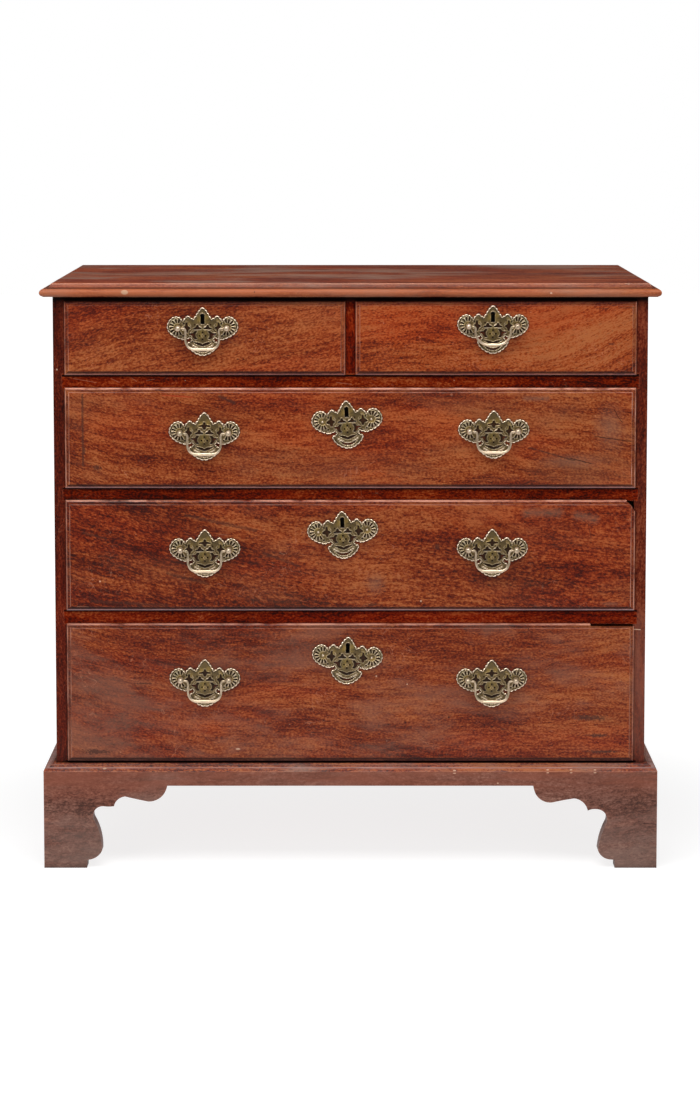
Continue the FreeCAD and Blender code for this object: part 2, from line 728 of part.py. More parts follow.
def handle_post(x, z, inward):
    """Post with collar and ball pommel; the bail's pin enters the pommel from its inner side."""
    face = case_front - plate_reach
    centre = Vector(x, case_front - pommel_line, z)
    back = case_front + front_tongue + nut_thickness + post_end
    forward = Vector(0, -1, 0)
    shank = Part.makeCylinder(post_radius, back - face, Vector(x, back, z), forward)
    collar = Part.makeCylinder(collar_radius, collar_thickness, Vector(x, face, z), forward)
    neck = Part.makeCylinder(neck_radius, pommel_standoff, Vector(x, face, z), forward)
    pommel = Part.makeSphere(pommel_radius, centre)
    depth = pin_past_centre + pin_end_gap
    socket = Part.makeCylinder(pin_radius + pin_clearance, pommel_radius + depth,
                               centre + Vector(-inward * depth, 0, 0), Vector(inward, 0, 0))
    return joined(shank, collar, neck, pommel).cut(socket).Solids[0]


def post_nut(x, z):
    low = case_front + front_tongue
    half = nut_size / 2
    nut = box(x - half, x + half, low, low + nut_thickness, z - half, z + half)
    bore = Part.makeCylinder(post_radius, nut_thickness, Vector(x, low, z), Vector(0, 1, 0))
    return nut.cut(bore).Solids[0]


def handle_posts(d):
    pieces = []
    for x, z in d["handles"]:
        for side in (-1, 1):
            post_x = x + side * bore_spacing / 2
            pieces += [handle_post(post_x, z, -side), post_nut(post_x, z)]
    return pieces


def bail_stations(half_width, corner, drop):
    """Right half of the bail's line from shoulder to grip: place, heading and radius."""
    shoulder = bore_spacing / 2 - pommel_radius - bail_shoulder_gap
    turn_in = half_width + bail_bend
    stations = [(shoulder, 0.0, -90.0, bail_end_radius), (turn_in, 0.0, -90.0, bail_end_radius)]
    for degrees in (45.0, 90.0):
        angle = math.radians(degrees)
        stations.append((turn_in - bail_bend * math.sin(angle), bail_bend * (math.cos(angle) - 1),
                         -90.0 - degrees, bail_end_radius))
    foot = corner - drop
    for share in (1 / 3, 2 / 3):
        stations.append((half_width, -bail_bend + (foot + bail_bend) * share, -180.0, bail_end_radius))
    swell = bail_middle_radius - bail_end_radius
    for degrees in (0.0, 30.0, 60.0, 90.0):
        angle = math.radians(degrees)
        stations.append((half_width - corner * (1 - math.cos(angle)), foot - corner * math.sin(angle),
                         degrees - 180.0, bail_end_radius + swell * 0.6 * math.sin(angle) ** 2))
    stations.append(((half_width - corner) / 2, -drop, -90.0, bail_end_radius + swell * 0.9))
    stations.append((0.0, -drop, -90.0, bail_middle_radius))
    return stations


def bail(x, z, half_width, corner, drop):
    right = bail_stations(half_width, corner, drop)
    left = [(-u, v, -180.0 - heading, radius) for u, v, heading, radius in reversed(right[:-1])]
    y = case_front - pommel_line
    sections = []
    for u, v, heading, radius in right + left:
        ring = Part.Wire(Part.makeCircle(radius))
        ring.Placement = FreeCAD.Placement(Vector(x + u, y, z + v),
                                           FreeCAD.Rotation(Vector(0, 1, 0), heading))
        sections.append(ring)
    grip = Part.makeLoft(sections, True)
    shoulder = right[0][0]
    pin_length = bore_spacing / 2 + pin_past_centre - shoulder
    pins = [Part.makeCylinder(pin_radius, pin_length, Vector(x + side * shoulder, y, z), Vector(side, 0, 0))
            for side in (-1, 1)]
    return joined(grip, *pins)


# ---------------------------------------------------------------- the chest

def all_drawers():
    half, reach = divider_width / 2, opening_half
    return [
        drawer("short_left", -reach, -half, short_level, top_rail_level, short_left_plates, 0),
        drawer("short_right", half, reach, short_level, top_rail_level, short_right_plates, 0),
        drawer("upper_long", -reach, reach, upper_level, upper_rail_level, upper_long_plates, 1),
        drawer("middle_long", -reach, reach, middle_level, middle_rail_level, middle_long_plates, 1),
        drawer("lower_long", -reach, reach, bottom_level, lower_rail_level, lower_long_plates, 1),
    ]


def carcase_pieces(drawers):
    short_left, short_right, upper_long, middle_long, lower_long = drawers
    top_rail = mortised_rail(top_rail_level, top_rail_thickness, [short_left, short_right])
    rails = [mortised_rail(upper_rail_level, upper_rail_thickness, [upper_long]),
             mortised_rail(middle_rail_level, middle_rail_thickness, [middle_long]),
             mortised_rail(lower_rail_level, lower_rail_thickness, [lower_long])]
    dustboards = [dustboard(level) for level in (short_level, upper_level, middle_level)]
    bottom = bottom_board()
    right_side = case_side([top_rail, bottom] + rails + dustboards)
    divider_half, partition_half = divider_width / 2, partition_thickness / 2
    return {
        "top_board": [top_board()],
        "left_side": [mirrored(right_side)],
        "right_side": [right_side],
        "bottom_board": [bottom],
        "back_boards": back_boards(),
        "top_rail": [top_rail],
        "drawer_rails": rails,
        "dustboards": dustboards,
        "short_drawer_divider": [box(-divider_half, divider_half, case_front, case_front + rail_depth,
                                     short_level, top_rail_level)],
        "short_drawer_partition": [box(-partition_half, partition_half, case_front + rail_depth, back_face,
                                       short_level, top_level)],
    }


def plinth_pieces():
    front, left, right = plinth_boards()
    return {
        "base_moulding": list(moulding_runs(base_moulding_steps, plinth_projection, plinth_height,
                                            base_moulding_height)),
        "plinth_front": [front],
        "plinth_left_side": [left],
        "plinth_right_side": [right],
        "rear_feet": rear_feet(),
        "glue_blocks": glue_blocks(),
    }


def drawer_pieces(d, keyed_plate, plain_plate):
    name = d["name"]
    pieces = {
        name + "_front": [drawer_front(d)],
        name + "_box": drawer_box(d),
        name + "_bottom": [drawer_bottom(d)],
        name + "_lock_case": [lock_case(d)],
        name + "_lock_bolt": [lock_bolt(d)],
        name + "_brass_plates": brass_plates(d, keyed_plate, plain_plate),
        name + "_handle_posts": handle_posts(d),
    }
    shape = (bail_half_width, bail_corner, bail_drop)
    if name == round_bail_drawer:
        shape = (round_bail_half_width, round_bail_corner, round_bail_drop)
    bails = [bail(x, z, *shape) for x, z in d["handles"]]
    if len(bails) == 1:
        pieces[name + "_bail"] = bails
    else:
        pieces[name + "_left_bail"], pieces[name + "_right_bail"] = bails[:1], bails[1:]
    return pieces


def chest():
    drawers = all_drawers()
    keyed_plate, plain_plate = plate(True), plate(False)
    pieces = plinth_pieces()
    pieces.update(carcase_pieces(drawers))
    for d in drawers:
        pieces.update(drawer_pieces(d, keyed_plate, plain_plate))
    return pieces


os.makedirs("parts", exist_ok=True)
for node, solids in chest().items():
    shape = solids[0] if len(solids) == 1 else Part.makeCompound(solids)
    shape.exportStep("parts/" + node + ".step")
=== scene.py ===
import math

import bmesh
import bpy
import numpy as np
from mathutils import Matrix, Vector
from mathutils.geometry import delaunay_2d_cdt


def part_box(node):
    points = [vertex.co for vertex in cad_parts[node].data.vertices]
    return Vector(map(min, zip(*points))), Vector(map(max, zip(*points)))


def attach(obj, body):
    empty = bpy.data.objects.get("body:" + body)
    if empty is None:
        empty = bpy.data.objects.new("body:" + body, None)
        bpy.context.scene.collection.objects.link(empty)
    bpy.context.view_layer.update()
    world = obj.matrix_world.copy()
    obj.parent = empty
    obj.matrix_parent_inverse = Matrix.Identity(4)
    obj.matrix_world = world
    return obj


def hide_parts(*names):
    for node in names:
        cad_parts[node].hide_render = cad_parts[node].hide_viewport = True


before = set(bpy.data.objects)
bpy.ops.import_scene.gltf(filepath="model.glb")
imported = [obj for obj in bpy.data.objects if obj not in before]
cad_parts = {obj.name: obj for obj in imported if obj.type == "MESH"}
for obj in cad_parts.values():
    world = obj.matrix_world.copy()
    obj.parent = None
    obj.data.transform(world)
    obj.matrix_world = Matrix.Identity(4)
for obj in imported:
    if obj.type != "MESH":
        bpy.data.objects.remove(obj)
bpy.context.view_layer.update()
drawerNames = ["short_left", "short_right", "upper_long", "middle_long", "lower_long"]
perMetre = 1000.0   # brasses and lips are worked in millimetres
print("frame loaded:", len(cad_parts), "nodes")


# small helpers for building node trees

def newMaterial(name):
    material = bpy.data.materials.new(name)
    material.use_nodes = True
    tree = material.node_tree
    tree.nodes.clear()
    output = tree.nodes.new("ShaderNodeOutputMaterial")
    shader = tree.nodes.new("ShaderNodeBsdfPrincipled")
    tree.links.new(shader.outputs["BSDF"], output.inputs["Surface"])
    return material, tree, shader


def plug(tree, socket, value):
    if isinstance(value, bpy.types.NodeSocket):
        tree.links.new(value, socket)
    elif socket.type == "RGBA" and len(value) == 3:
        socket.default_value = (*value, 1.0)
    else:
        socket.default_value = value


def addNode(tree, kind, inputs=(), **settings):
    node = tree.nodes.new(kind)
    for key, value in settings.items():
        setattr(node, key, value)
    for key, value in dict(inputs).items():
        plug(tree, node.inputs[key], value)
    return node


def calc(tree, operation, *values, clamp=False):
    node = addNode(tree, "ShaderNodeMath", enumerate(values), operation=operation, use_clamp=clamp)
    return node.outputs[0]


def times(tree, first, second):
    return calc(tree, "MULTIPLY", first, second)


def vectorCalc(tree, operation, *values):   # a length or a dot product comes out of "Value"
    return addNode(tree, "ShaderNodeVectorMath", enumerate(values), operation=operation).outputs


def scaled(tree, vector, scale):
    return vectorCalc(tree, "MULTIPLY", vector, scale)[0]


def objectPlace(tree):
    return addNode(tree, "ShaderNodeTexCoord").outputs["Object"]


def axesOf(tree, vector):
    return addNode(tree, "ShaderNodeSeparateXYZ", {0: vector}).outputs


def between(tree, value, low, high):   # climbs smoothly from 0 at low to 1 at high; low may be the greater
    inputs = {"Value": value, "From Min": low, "From Max": high}
    return addNode(tree, "ShaderNodeMapRange", inputs, interpolation_type="SMOOTHSTEP").outputs[0]


def blendColour(tree, amount, first, second, mode="MIX"):
    node = addNode(tree, "ShaderNodeMix", data_type="RGBA", blend_type=mode)
    plug(tree, node.inputs[0], amount)
    plug(tree, node.inputs[6], first)
    plug(tree, node.inputs[7], second)
    return node.outputs[2]


def layOver(tree, below, colour, amount, strength, mode="MIX"):   # one more coat of colour on what is below
    return blendColour(tree, times(tree, amount, strength), below, colour, mode)


def rampColour(tree, value, stops):
    node = addNode(tree, "ShaderNodeValToRGB", {"Fac": value})
    elements = node.color_ramp.elements
    while len(elements) < len(stops):
        elements.new(0.5)
    for element, (place, colour) in zip(elements, stops):
        element.position = place
        element.color = (*colour, 1.0)
    return node.outputs["Color"]


def noiseOf(tree, vector, scale=1.0, detail=3.0, roughness=0.55, distortion=0.0):
    inputs = {"Vector": vector, "Scale": scale, "Detail": detail, "Roughness": roughness,
              "Distortion": distortion}
    return addNode(tree, "ShaderNodeTexNoise", inputs).outputs["Fac"]


def nookOf(tree, reach, samples):   # 1 out in the open, falling towards 0 in corners
    return addNode(tree, "ShaderNodeAmbientOcclusion", {"Distance": reach}, samples=samples).outputs["AO"]


def roughen(tree, shader, height, strength, depth):   # relief too fine to model
    bump = addNode(tree, "ShaderNodeBump", {"Strength": strength, "Distance": depth, "Height": height})
    plug(tree, shader.inputs["Normal"], bump.outputs[0])


def speckOf(tree, vector, scale, share, size, core=0.55):   # round spots in a share of the cells
    cells = addNode(tree, "ShaderNodeTexVoronoi", {"Vector": vector, "Scale": scale, "Randomness": 1.0})
    near = between(tree, cells.outputs["Distance"], size, size * core)
    lot = addNode(tree, "ShaderNodeSeparateColor", {"Color": cells.outputs["Color"]}).outputs[0]
    return times(tree, near, calc(tree, "LESS_THAN", lot, share))


# marks that stand in one place: an oval is x, y, z, half width and half height, and a stroke is x, y, z,
# the x and z of its other end and half its width; both in metres
marking = {
    "depth": 0.012,          # how deep a mark goes into the wood
    "raggedScale": 420.0,
    "edge": (1.25, 0.85),    # faint and full, in shares of its own size
    "hazeEdge": (1.9, 0.4),
    "haloEdge": (1.35, 0.45),
    "hazeRagged": 1.1,
    "haloRagged": 0.3,
    "behindRagged": 0.2,
}


def strokeReach(tree, off, run, half):   # how far a point is from a stroke, in half widths
    off = scaled(tree, off, (1.0, half / marking["depth"], 1.0))
    along = vectorCalc(tree, "DOT_PRODUCT", off, run / run.length_squared)["Value"]
    along = calc(tree, "MULTIPLY", along, 1.0, clamp=True)
    back = addNode(tree, "ShaderNodeVectorMath", {0: -run, "Scale": along}, operation="SCALE").outputs[0]
    return scaled(tree, vectorCalc(tree, "ADD", off, back)[0], (1.0 / half, 1.0 / half, 1.0 / half))


def markOf(tree, place, marks, ragged, edge=marking["edge"]):   # 1 inside any of the marks
    rough = times(tree, noiseOf(tree, place, marking["raggedScale"], 2.0), ragged)
    found = None
    for x, y, z, *shape in marks:
        off = vectorCalc(tree, "SUBTRACT", place, (x, y, z))[0]
        if len(shape) == 2:
            halfX, halfZ = shape
            share = scaled(tree, off, (1.0 / halfX, 1.0 / marking["depth"], 1.0 / halfZ))
        else:
            endX, endZ, half = shape
            share = strokeReach(tree, off, Vector((endX - x, 0.0, endZ - z)), half)
        reach = vectorCalc(tree, "LENGTH", share)["Value"]
        inside = between(tree, calc(tree, "ADD", reach, rough), *edge)
        found = inside if found is None else calc(tree, "MAXIMUM", found, inside)
    return found


# mahogany: what every board has in common; a board's own look changes some of it
grainAxes = {"x": (0, 2), "y": (1, 0), "z": (2, 0)}   # numbers of the axis along the grain and of one across
mahogany = {
    "grain": "x",
    "seed": 0.0,
    "seedStep": (1.7, 2.3, 3.1),
    "lean": 0.0,             # slope of the figure, falling along the board
    "curls": (),             # (place, side, how much the slope grows on that side of it)
    "wander": 0.024,         # how far the figure strays to either side, in metres
    "strays": ((2.4, 1.0), (8.0, 0.28), (28.0, 0.06)),   # scale and share of each way that it strays
    "dark": (0.034, 0.0050, 0.0030),
    "red": (0.095, 0.0095, 0.0020),
    "brown": (0.170, 0.0220, 0.0040),
    "warm": (0.260, 0.0500, 0.0110),
    "light": (0.380, 0.1100, 0.0330),
    "tones": {"dark": 0.24, "red": 0.38, "brown": 0.50, "warm": 0.63, "light": 0.82},   # in the figure
    "warmth": 0.0,           # moves the whole board towards its light end
    "drift": 0.0,            # grows towards the light end along the board, per metre
    "contrast": 1.0,
    "layers": (              # the figure, from broad bands to fibres: scale along and across, detail, share
        (3.0, 12.0, 3.0, 0.80), (5.0, 44.0, 4.0, 0.60), (26.0, 200.0, 3.0, 0.80),
        (240.0, 430.0, 2.0, 1.10)),
    # patches that follow the grain: scale along and across, detail, roughness, where they begin, are full
    "streaks": (9.0, 90.0, 4.0, 0.60, 0.35, 0.60),
    "flush": (2.6, 11.0, 3.0, 0.60, 0.44, 0.62),
    "clouds": (4.5, 11.0, 5.0, 0.65, 0.47, 0.66),
    "stains": (7.0, 34.0, 5.0, 0.70, 0.55, 0.70),
    "pores": (200.0, 700.0, 2.0, 0.60, 0.58, 0.68),
    "flushTint": (1.08, 0.66, 0.50),
    "flushStrength": 0.55,
    "faded": (0.150, 0.0640, 0.0350),
    "fade": 0.35,            # how much of the surface has gone grey
    "stain": 0.24,
    "poreColour": (0.030, 0.0070, 0.0040),
    "poreStrength": 0.45,
    "hairScale": 34.0,
    "hairWidth": 0.006,
    "hairPlaces": (9.0, 0.52, 0.64),   # scale, and where they begin and are full
    "hairStrength": 0.30,
    "specks": (52.0, 0.09, 0.060),   # pale specks: scale, share, size
    "speckColour": (0.580, 0.3400, 0.2200),
    "speckStrength": 0.35,
    "nicks": (34.0, 0.11, 0.050),    # dark nicks: scale, share, size
    "nickStretch": (1.0, 1.0, 1.6),
    "nickColour": (0.020, 0.0050, 0.0040),
    "nickStrength": 0.80,
    "wormholes": 0.0,        # share of places that have one
    "wormholeScale": 110.0,
    "wormholeSize": 0.10,
    "wormholeColour": (0.008, 0.0030, 0.0020),
    "edgeRadius": 0.0014,
    "edgeTurn": (0.985, 0.80),   # cosines at which an edge begins to be rubbed and is worn through
    "wear": 0.5,
    "wearScale": (26.0, 26.0, 60.0),
    "wearPatches": (0.34, 0.62),
    "wearNooks": (0.45, 0.8),    # how open a place must be before cloths reach it
    "worn": (0.560, 0.2400, 0.1400),
    # painted shade with grime: corners, creases and wood under overhangs darkened by ambient occlusion
    "shadeAndGrime": 0.9,
    "shadeAndGrimeReach": 0.014,
    "shadeAndGrimeNooks": (0.88, 0.30),  # how open a corner is where the painted shade and grime begin and where they are full
    "grimeDullness": 0.3,
    "shadeAndGrimeColour": (0.010, 0.0030, 0.0025),
    "roughness": 0.42,
    "roughnessSpread": 0.22,
    "roughnessScale": 14.0,
    "coat": 0.03,
    "coatRoughness": 0.18,
    "specular": 0.20,
    "reliefStrength": 0.4,
    "reliefDepth": 0.0003,
    "poreHeight": -0.6,
    "fibreHeight": 0.8,
    "waveHeight": 3.0,
    "waveScale": 30.0,
    "lip": None,             # outer edges of a lipped front: left, right, low, high
    "lipLines": {            # across a lip: begins, full, full until, gone, in millimetres from its edge
        "outer": (-1.5, 0.2, 1.6, 2.5), "groove": (2.1, 2.9, 3.9, 5.0), "inner": (5.4, 6.3, 7.0, 7.8),
        "hem": (-1.5, -0.2, 1.8, 2.7), "under": (2.2, 3.1, 4.8, 6.2)},
    "lipWobble": 1.6,        # how far the lines stray, in millimetres
    "lipWobbleScale": 55.0,
    "lipPatches": (24.0, 0.30, 0.62),       # where the painted pale highlight lines hold: scale, begins, full
    "lipCorner": 0.0005,     # how near two edges count as equally near
    "lipShine": (0.85, 0.65, 0.65, 0.40),   # strength of the painted highlight on each side of a lip: top, left, right, bottom
    "lipInner": (0.35, 0.75, 0.75, 0.0),    # how bright the inner line is beside the outer one
    # painted shade in the groove of each side and under the bottom lip: top, left, right, bottom
    "lipShade": (0.40, 0.40, 0.40, 0.80),
    # colour of the painted highlights on the arrises, where the polish is also rubbed pale
    "lipPale": (0.700, 0.3300, 0.2300),
    "lipGrey": (0.420, 0.2700, 0.2800),     # painted highlight along the bottom hem
    # colour of the painted shade in the groove and under the bottom lip
    "lipDark": (0.022, 0.0090, 0.0090),
    "bands": (),             # (low, high, softness, colour, strength) of a band at one height: rubbed or stained, and on the mouldings painted shade and highlight
    "shadowLevels": (),        # (level, reach) of a painted black shadow that hangs below something
    # colour and strength of that painted shadow
    "dirtAndShadeColour": (0.006, 0.0020, 0.0018),
    "dirtAndShadeStrength": 0.95,
    "shadowFull": 0.35,        # share of its reach at which it is full
    "shadowOverlap": 0.0005,   # how far it goes above the level
    "hazes": (),             # (colour, strength, places) of soft clouds
    "marks": (),             # (colour, strength, raggedness, places)
    "behind": (),            # places behind the brasses, painted dark for old polish gathered there and the shade in their piercings
    "behindColour": (0.021, 0.0100, 0.0035),
    "behindStrength": 0.92,
    "halo": (),              # places round the brasses, painted darker for dirt the rag never reached and the shade of the plates
    "haloColour": (0.050, 0.0110, 0.0060),
    "haloStrength": 0.40,
}


def bentBoard(tree, look, shifted, offset):   # the board's space, bent so that the figure leans and curls
    along, across = grainAxes[look["grain"]]
    parts = list(axesOf(tree, shifted))
    run = calc(tree, "SUBTRACT", parts[along], offset[along])
    bends = [times(tree, run, look["lean"])]
    for start, side, growth in look["curls"]:
        past = calc(tree, "MAXIMUM", times(tree, calc(tree, "SUBTRACT", run, start), side), 0.0)
        bends.append(times(tree, times(tree, past, past), growth * side / 2))
    for scale, share in look["strays"]:
        stray = noiseOf(tree, scaled(tree, shifted, (scale, scale, scale)), 1.0, 2.0)
        reach = look["wander"] * share * 2
        bends.append(calc(tree, "MULTIPLY_ADD", stray, reach, -reach / 2))
    for bend in bends:
        parts[across] = calc(tree, "ADD", parts[across], bend)
    return addNode(tree, "ShaderNodeCombineXYZ", enumerate(parts)).outputs[0], run


def grainNoise(tree, look, board, alongScale, acrossScale, detail, roughness=0.6):
    scale = [acrossScale] * 3
    scale[grainAxes[look["grain"]][0]] = alongScale
    return noiseOf(tree, scaled(tree, board, scale), 1.0, detail, roughness)


def grainPatch(tree, look, board, kind):
    *noise, start, full = look[kind]
    return between(tree, grainNoise(tree, look, board, *noise), start, full)


def figuredWood(tree, look, board, run):   # colour from the figure, and the finest fibres for the relief
    figure = calc(tree, "MULTIPLY_ADD", run, look["drift"], 0.5 + look["warmth"])
    for *noise, share in look["layers"]:
        fibres = grainNoise(tree, look, board, *noise)
        centred = calc(tree, "SUBTRACT", fibres, 0.5)
        figure = calc(tree, "MULTIPLY_ADD", centred, share * look["contrast"], figure)
    wood = rampColour(tree, figure, [(place, look[tone]) for tone, place in look["tones"].items()])
    flush = grainPatch(tree, look, board, "flush")
    wood = layOver(tree, wood, look["flushTint"], flush, look["flushStrength"], "MULTIPLY")
    wood = layOver(tree, wood, look["faded"], grainPatch(tree, look, board, "clouds"), look["fade"])
    wood = layOver(tree, wood, look["dark"], grainPatch(tree, look, board, "stains"), look["stain"])
    return wood, fibres


def scratchedWood(tree, look, shifted, wood):   # hairline scratches, specks, nicks and wormholes
    placeScale, *found = look["hairPlaces"]
    ridge = calc(tree, "SUBTRACT", noiseOf(tree, shifted, look["hairScale"], 2.0, 0.5, 0.8), 0.5)
    ridge = calc(tree, "ABSOLUTE", ridge)
    hairs = times(tree, between(tree, ridge, look["hairWidth"], look["hairWidth"] / 6),
                  between(tree, noiseOf(tree, shifted, placeScale, 2.0), *found))
    wood = layOver(tree, wood, look["worn"], hairs, look["hairStrength"])
    specks = speckOf(tree, shifted, *look["specks"])
    wood = layOver(tree, wood, look["speckColour"], specks, look["speckStrength"])
    nicks = speckOf(tree, scaled(tree, shifted, look["nickStretch"]), *look["nicks"])
    wood = layOver(tree, wood, look["nickColour"], nicks, look["nickStrength"])
    if look["wormholes"]:
        holes = speckOf(tree, shifted, look["wormholeScale"], look["wormholes"], look["wormholeSize"])
        wood = blendColour(tree, holes, wood, look["wormholeColour"])
    return wood


def rubbedWood(tree, look, shifted, nook, wood):   # arrises worn bare, where cloths and hands reach them
    rounded = addNode(tree, "ShaderNodeBevel", {"Radius": look["edgeRadius"]}, samples=4).outputs[0]
    flat = addNode(tree, "ShaderNodeNewGeometry").outputs["True Normal"]
    facing = vectorCalc(tree, "DOT_PRODUCT", rounded, flat)["Value"]
    edge = between(tree, facing, *look["edgeTurn"])
    patchy = noiseOf(tree, scaled(tree, shifted, look["wearScale"]), 1.0, 4.0)
    patchy = between(tree, patchy, *look["wearPatches"])
    rubbed = times(tree, times(tree, edge, patchy), between(tree, nook, *look["wearNooks"]))
    return layOver(tree, wood, look["worn"], rubbed, look["wear"])


def linesOnLip(tree, look, place, wood):   # painted highlights on the arrises of a lip, where the polish is also rubbed pale, and painted shade between them
    x, y, z = axesOf(tree, place)
    left, right, low, high = look["lip"]
    reach = look["lipWobble"]
    wobble = noiseOf(tree, place, look["lipWobbleScale"], 3.0)
    wobble = calc(tree, "MULTIPLY_ADD", wobble, reach, -reach / 2)
    gaps = []
    for first, second in ((high, z), (x, left), (right, x), (z, low)):
        gaps.append(times(tree, calc(tree, "SUBTRACT", first, second), perMetre))
    nearest = gaps[0]
    for gap in gaps[1:]:
        nearest = calc(tree, "MINIMUM", nearest, gap)
    depth = calc(tree, "ADD", nearest, wobble)
    lines = {}
    for title, (start, full, end, gone) in look["lipLines"].items():
        lines[title] = times(tree, between(tree, depth, start, full), between(tree, depth, gone, end))
    scale, *found = look["lipPatches"]
    broken = noiseOf(tree, scaled(tree, place, (scale, scale, scale)), 1.0, 4.0, 0.65)
    broken = between(tree, broken, *found)
    pale = dark = grey = 0.0
    bottom = gaps[3]
    for gap, shine, inner, dirtAndShade in zip(gaps, look["lipShine"], look["lipInner"], look["lipShade"]):
        here = calc(tree, "COMPARE", gap, nearest, look["lipCorner"])
        if gap is bottom:
            grey = times(tree, here, times(tree, lines["hem"], shine))
        else:
            bright = calc(tree, "MAXIMUM", lines["outer"], times(tree, lines["inner"], inner))
            pale = calc(tree, "MULTIPLY_ADD", here, times(tree, bright, shine), pale)
        # painted shade in the groove, and under the bottom lip
        hollow = lines["under" if gap is bottom else "groove"]
        dark = calc(tree, "MULTIPLY_ADD", here, times(tree, hollow, dirtAndShade), dark)
    # painted shade first, then the painted grey highlight on the hem, then the pale highlights
    wood = blendColour(tree, dark, wood, look["lipDark"])
    wood = blendColour(tree, grey, wood, look["lipGrey"])
    return blendColour(tree, times(tree, pale, broken), wood, look["lipPale"])


def markedWood(tree, look, place, streaky, wood):   # what has happened to the board in its own places, and the painted shadow and shade that its look lists
    up = axesOf(tree, place)[2]
    for low, high, soft, colour, strength in look["bands"]:
        inside = times(tree, between(tree, up, low - soft, low + soft),
                       between(tree, up, high + soft, high - soft))
        inside = times(tree, inside, calc(tree, "MULTIPLY_ADD", streaky, 0.5, 0.5))
        wood = layOver(tree, wood, colour, inside, strength)
    # painted black shadow hanging below each listed level
    for level, reach in look["shadowLevels"]:
        paintedShadow = times(tree, between(tree, up, level - reach, level - reach * look["shadowFull"]),
                     calc(tree, "LESS_THAN", up, level + look["shadowOverlap"]))
        wood = layOver(tree, wood, look["dirtAndShadeColour"], paintedShadow, look["dirtAndShadeStrength"])
    for colour, strength, places in look["hazes"]:
        cloud = markOf(tree, place, places, marking["hazeRagged"], marking["hazeEdge"])
        wood = layOver(tree, wood, colour, cloud, strength)
    for colour, strength, ragged, places in look["marks"]:
        wood = layOver(tree, wood, colour, markOf(tree, place, places, ragged), strength)
    # painted dark behind and round the brasses: old polish and dirt, and the shade the plates cast
    if look["behind"]:
        halo = markOf(tree, place, look["halo"], marking["haloRagged"], marking["haloEdge"])
        wood = layOver(tree, wood, look["haloColour"], halo, look["haloStrength"])
        behind = markOf(tree, place, look["behind"], marking["behindRagged"])
        wood = layOver(tree, wood, look["behindColour"], behind, look["behindStrength"])
    return wood


def makeMahogany(name, **changes):
    look = {**mahogany, **changes}
    material, tree, shader = newMaterial(name)
    place = objectPlace(tree)
    offset = [look["seed"] * step for step in look["seedStep"]]
    shifted = vectorCalc(tree, "ADD", place, offset)[0]
    board, run = bentBoard(tree, look, shifted, offset)
    wood, fibres = figuredWood(tree, look, board, run)
    pores = grainPatch(tree, look, board, "pores")
    wood = layOver(tree, wood, look["poreColour"], pores, look["poreStrength"])
    wood = scratchedWood(tree, look, shifted, wood)
    nook = nookOf(tree, look["shadeAndGrimeReach"], 8)
    wood = rubbedWood(tree, look, shifted, nook, wood)
    if look["lip"]:
        wood = linesOnLip(tree, look, place, wood)
    # painted shade with grime: wood darkened where ambient occlusion finds a corner or an overhang
    shadeAndGrime = times(tree, between(tree, nook, *look["shadeAndGrimeNooks"]), look["shadeAndGrime"])
    wood = blendColour(tree, shadeAndGrime, wood, look["shadeAndGrimeColour"])
    wood = markedWood(tree, look, place, grainPatch(tree, look, board, "streaks"), wood)
    plug(tree, shader.inputs["Base Color"], wood)

    spread = look["roughnessSpread"]
    dull = noiseOf(tree, shifted, look["roughnessScale"], 4.0)
    dull = calc(tree, "MULTIPLY_ADD", dull, spread, look["roughness"] - spread / 2)
    dull = calc(tree, "MULTIPLY_ADD", shadeAndGrime, look["grimeDullness"], dull, clamp=True)
    plug(tree, shader.inputs["Roughness"], dull)
    shader.inputs["Specular IOR Level"].default_value = look["specular"]
    shader.inputs["Coat Weight"].default_value = look["coat"]
    shader.inputs["Coat Roughness"].default_value = look["coatRoughness"]
    relief = calc(tree, "MULTIPLY_ADD", pores, look["poreHeight"], times(tree, fibres, look["fibreHeight"]))
    waves = noiseOf(tree, shifted, look["waveScale"], 3.0)
    relief = calc(tree, "MULTIPLY_ADD", waves, look["waveHeight"], relief)
    roughen(tree, shader, relief, look["reliefStrength"], look["reliefDepth"])
    return material


# plainer timbers: drawer linings and the boards nobody sees
plainTimber = {
    "along": 3.0,            # scale of the rings along the grain
    "ringTones": {"deep": 0.34, "pale": 0.62},
    "fibreAlong": 45.0,
    "fibreAcross": 900.0,
    "fibreEdge": (0.52, 0.70),
    "fleckStretch": (60.0, 60.0, 160.0),
    "flecks": (1.0, 0.4, 0.25),      # scale, share, size
    "dirtAndShade": (6.0, 5.0, 0.65),        # scale, detail, roughness
    "dirtEdge": (0.45, 0.72),
    "dirtAndShadeColour": (0.075, 0.040, 0.020),
    "dirtAndShadeStrength": 0.55,
    # painted shade in the corners, from ambient occlusion
    "nookReach": 0.03,
    "nooks": (0.8, 0.2),
    "nookColour": (0.030, 0.016, 0.010),
    "nookStrength": 0.7,
    "reliefStrength": 0.3,
    "reliefDepth": 0.0003,
    "oak": {"pale": (0.43, 0.26, 0.12), "deep": (0.20, 0.10, 0.042), "across": 95.0, "fleck": 0.35,
            "roughness": 0.58},
    "pine": {"pale": (0.46, 0.27, 0.11), "deep": (0.24, 0.12, 0.045), "across": 42.0, "fleck": 0.0,
             "roughness": 0.72},
}


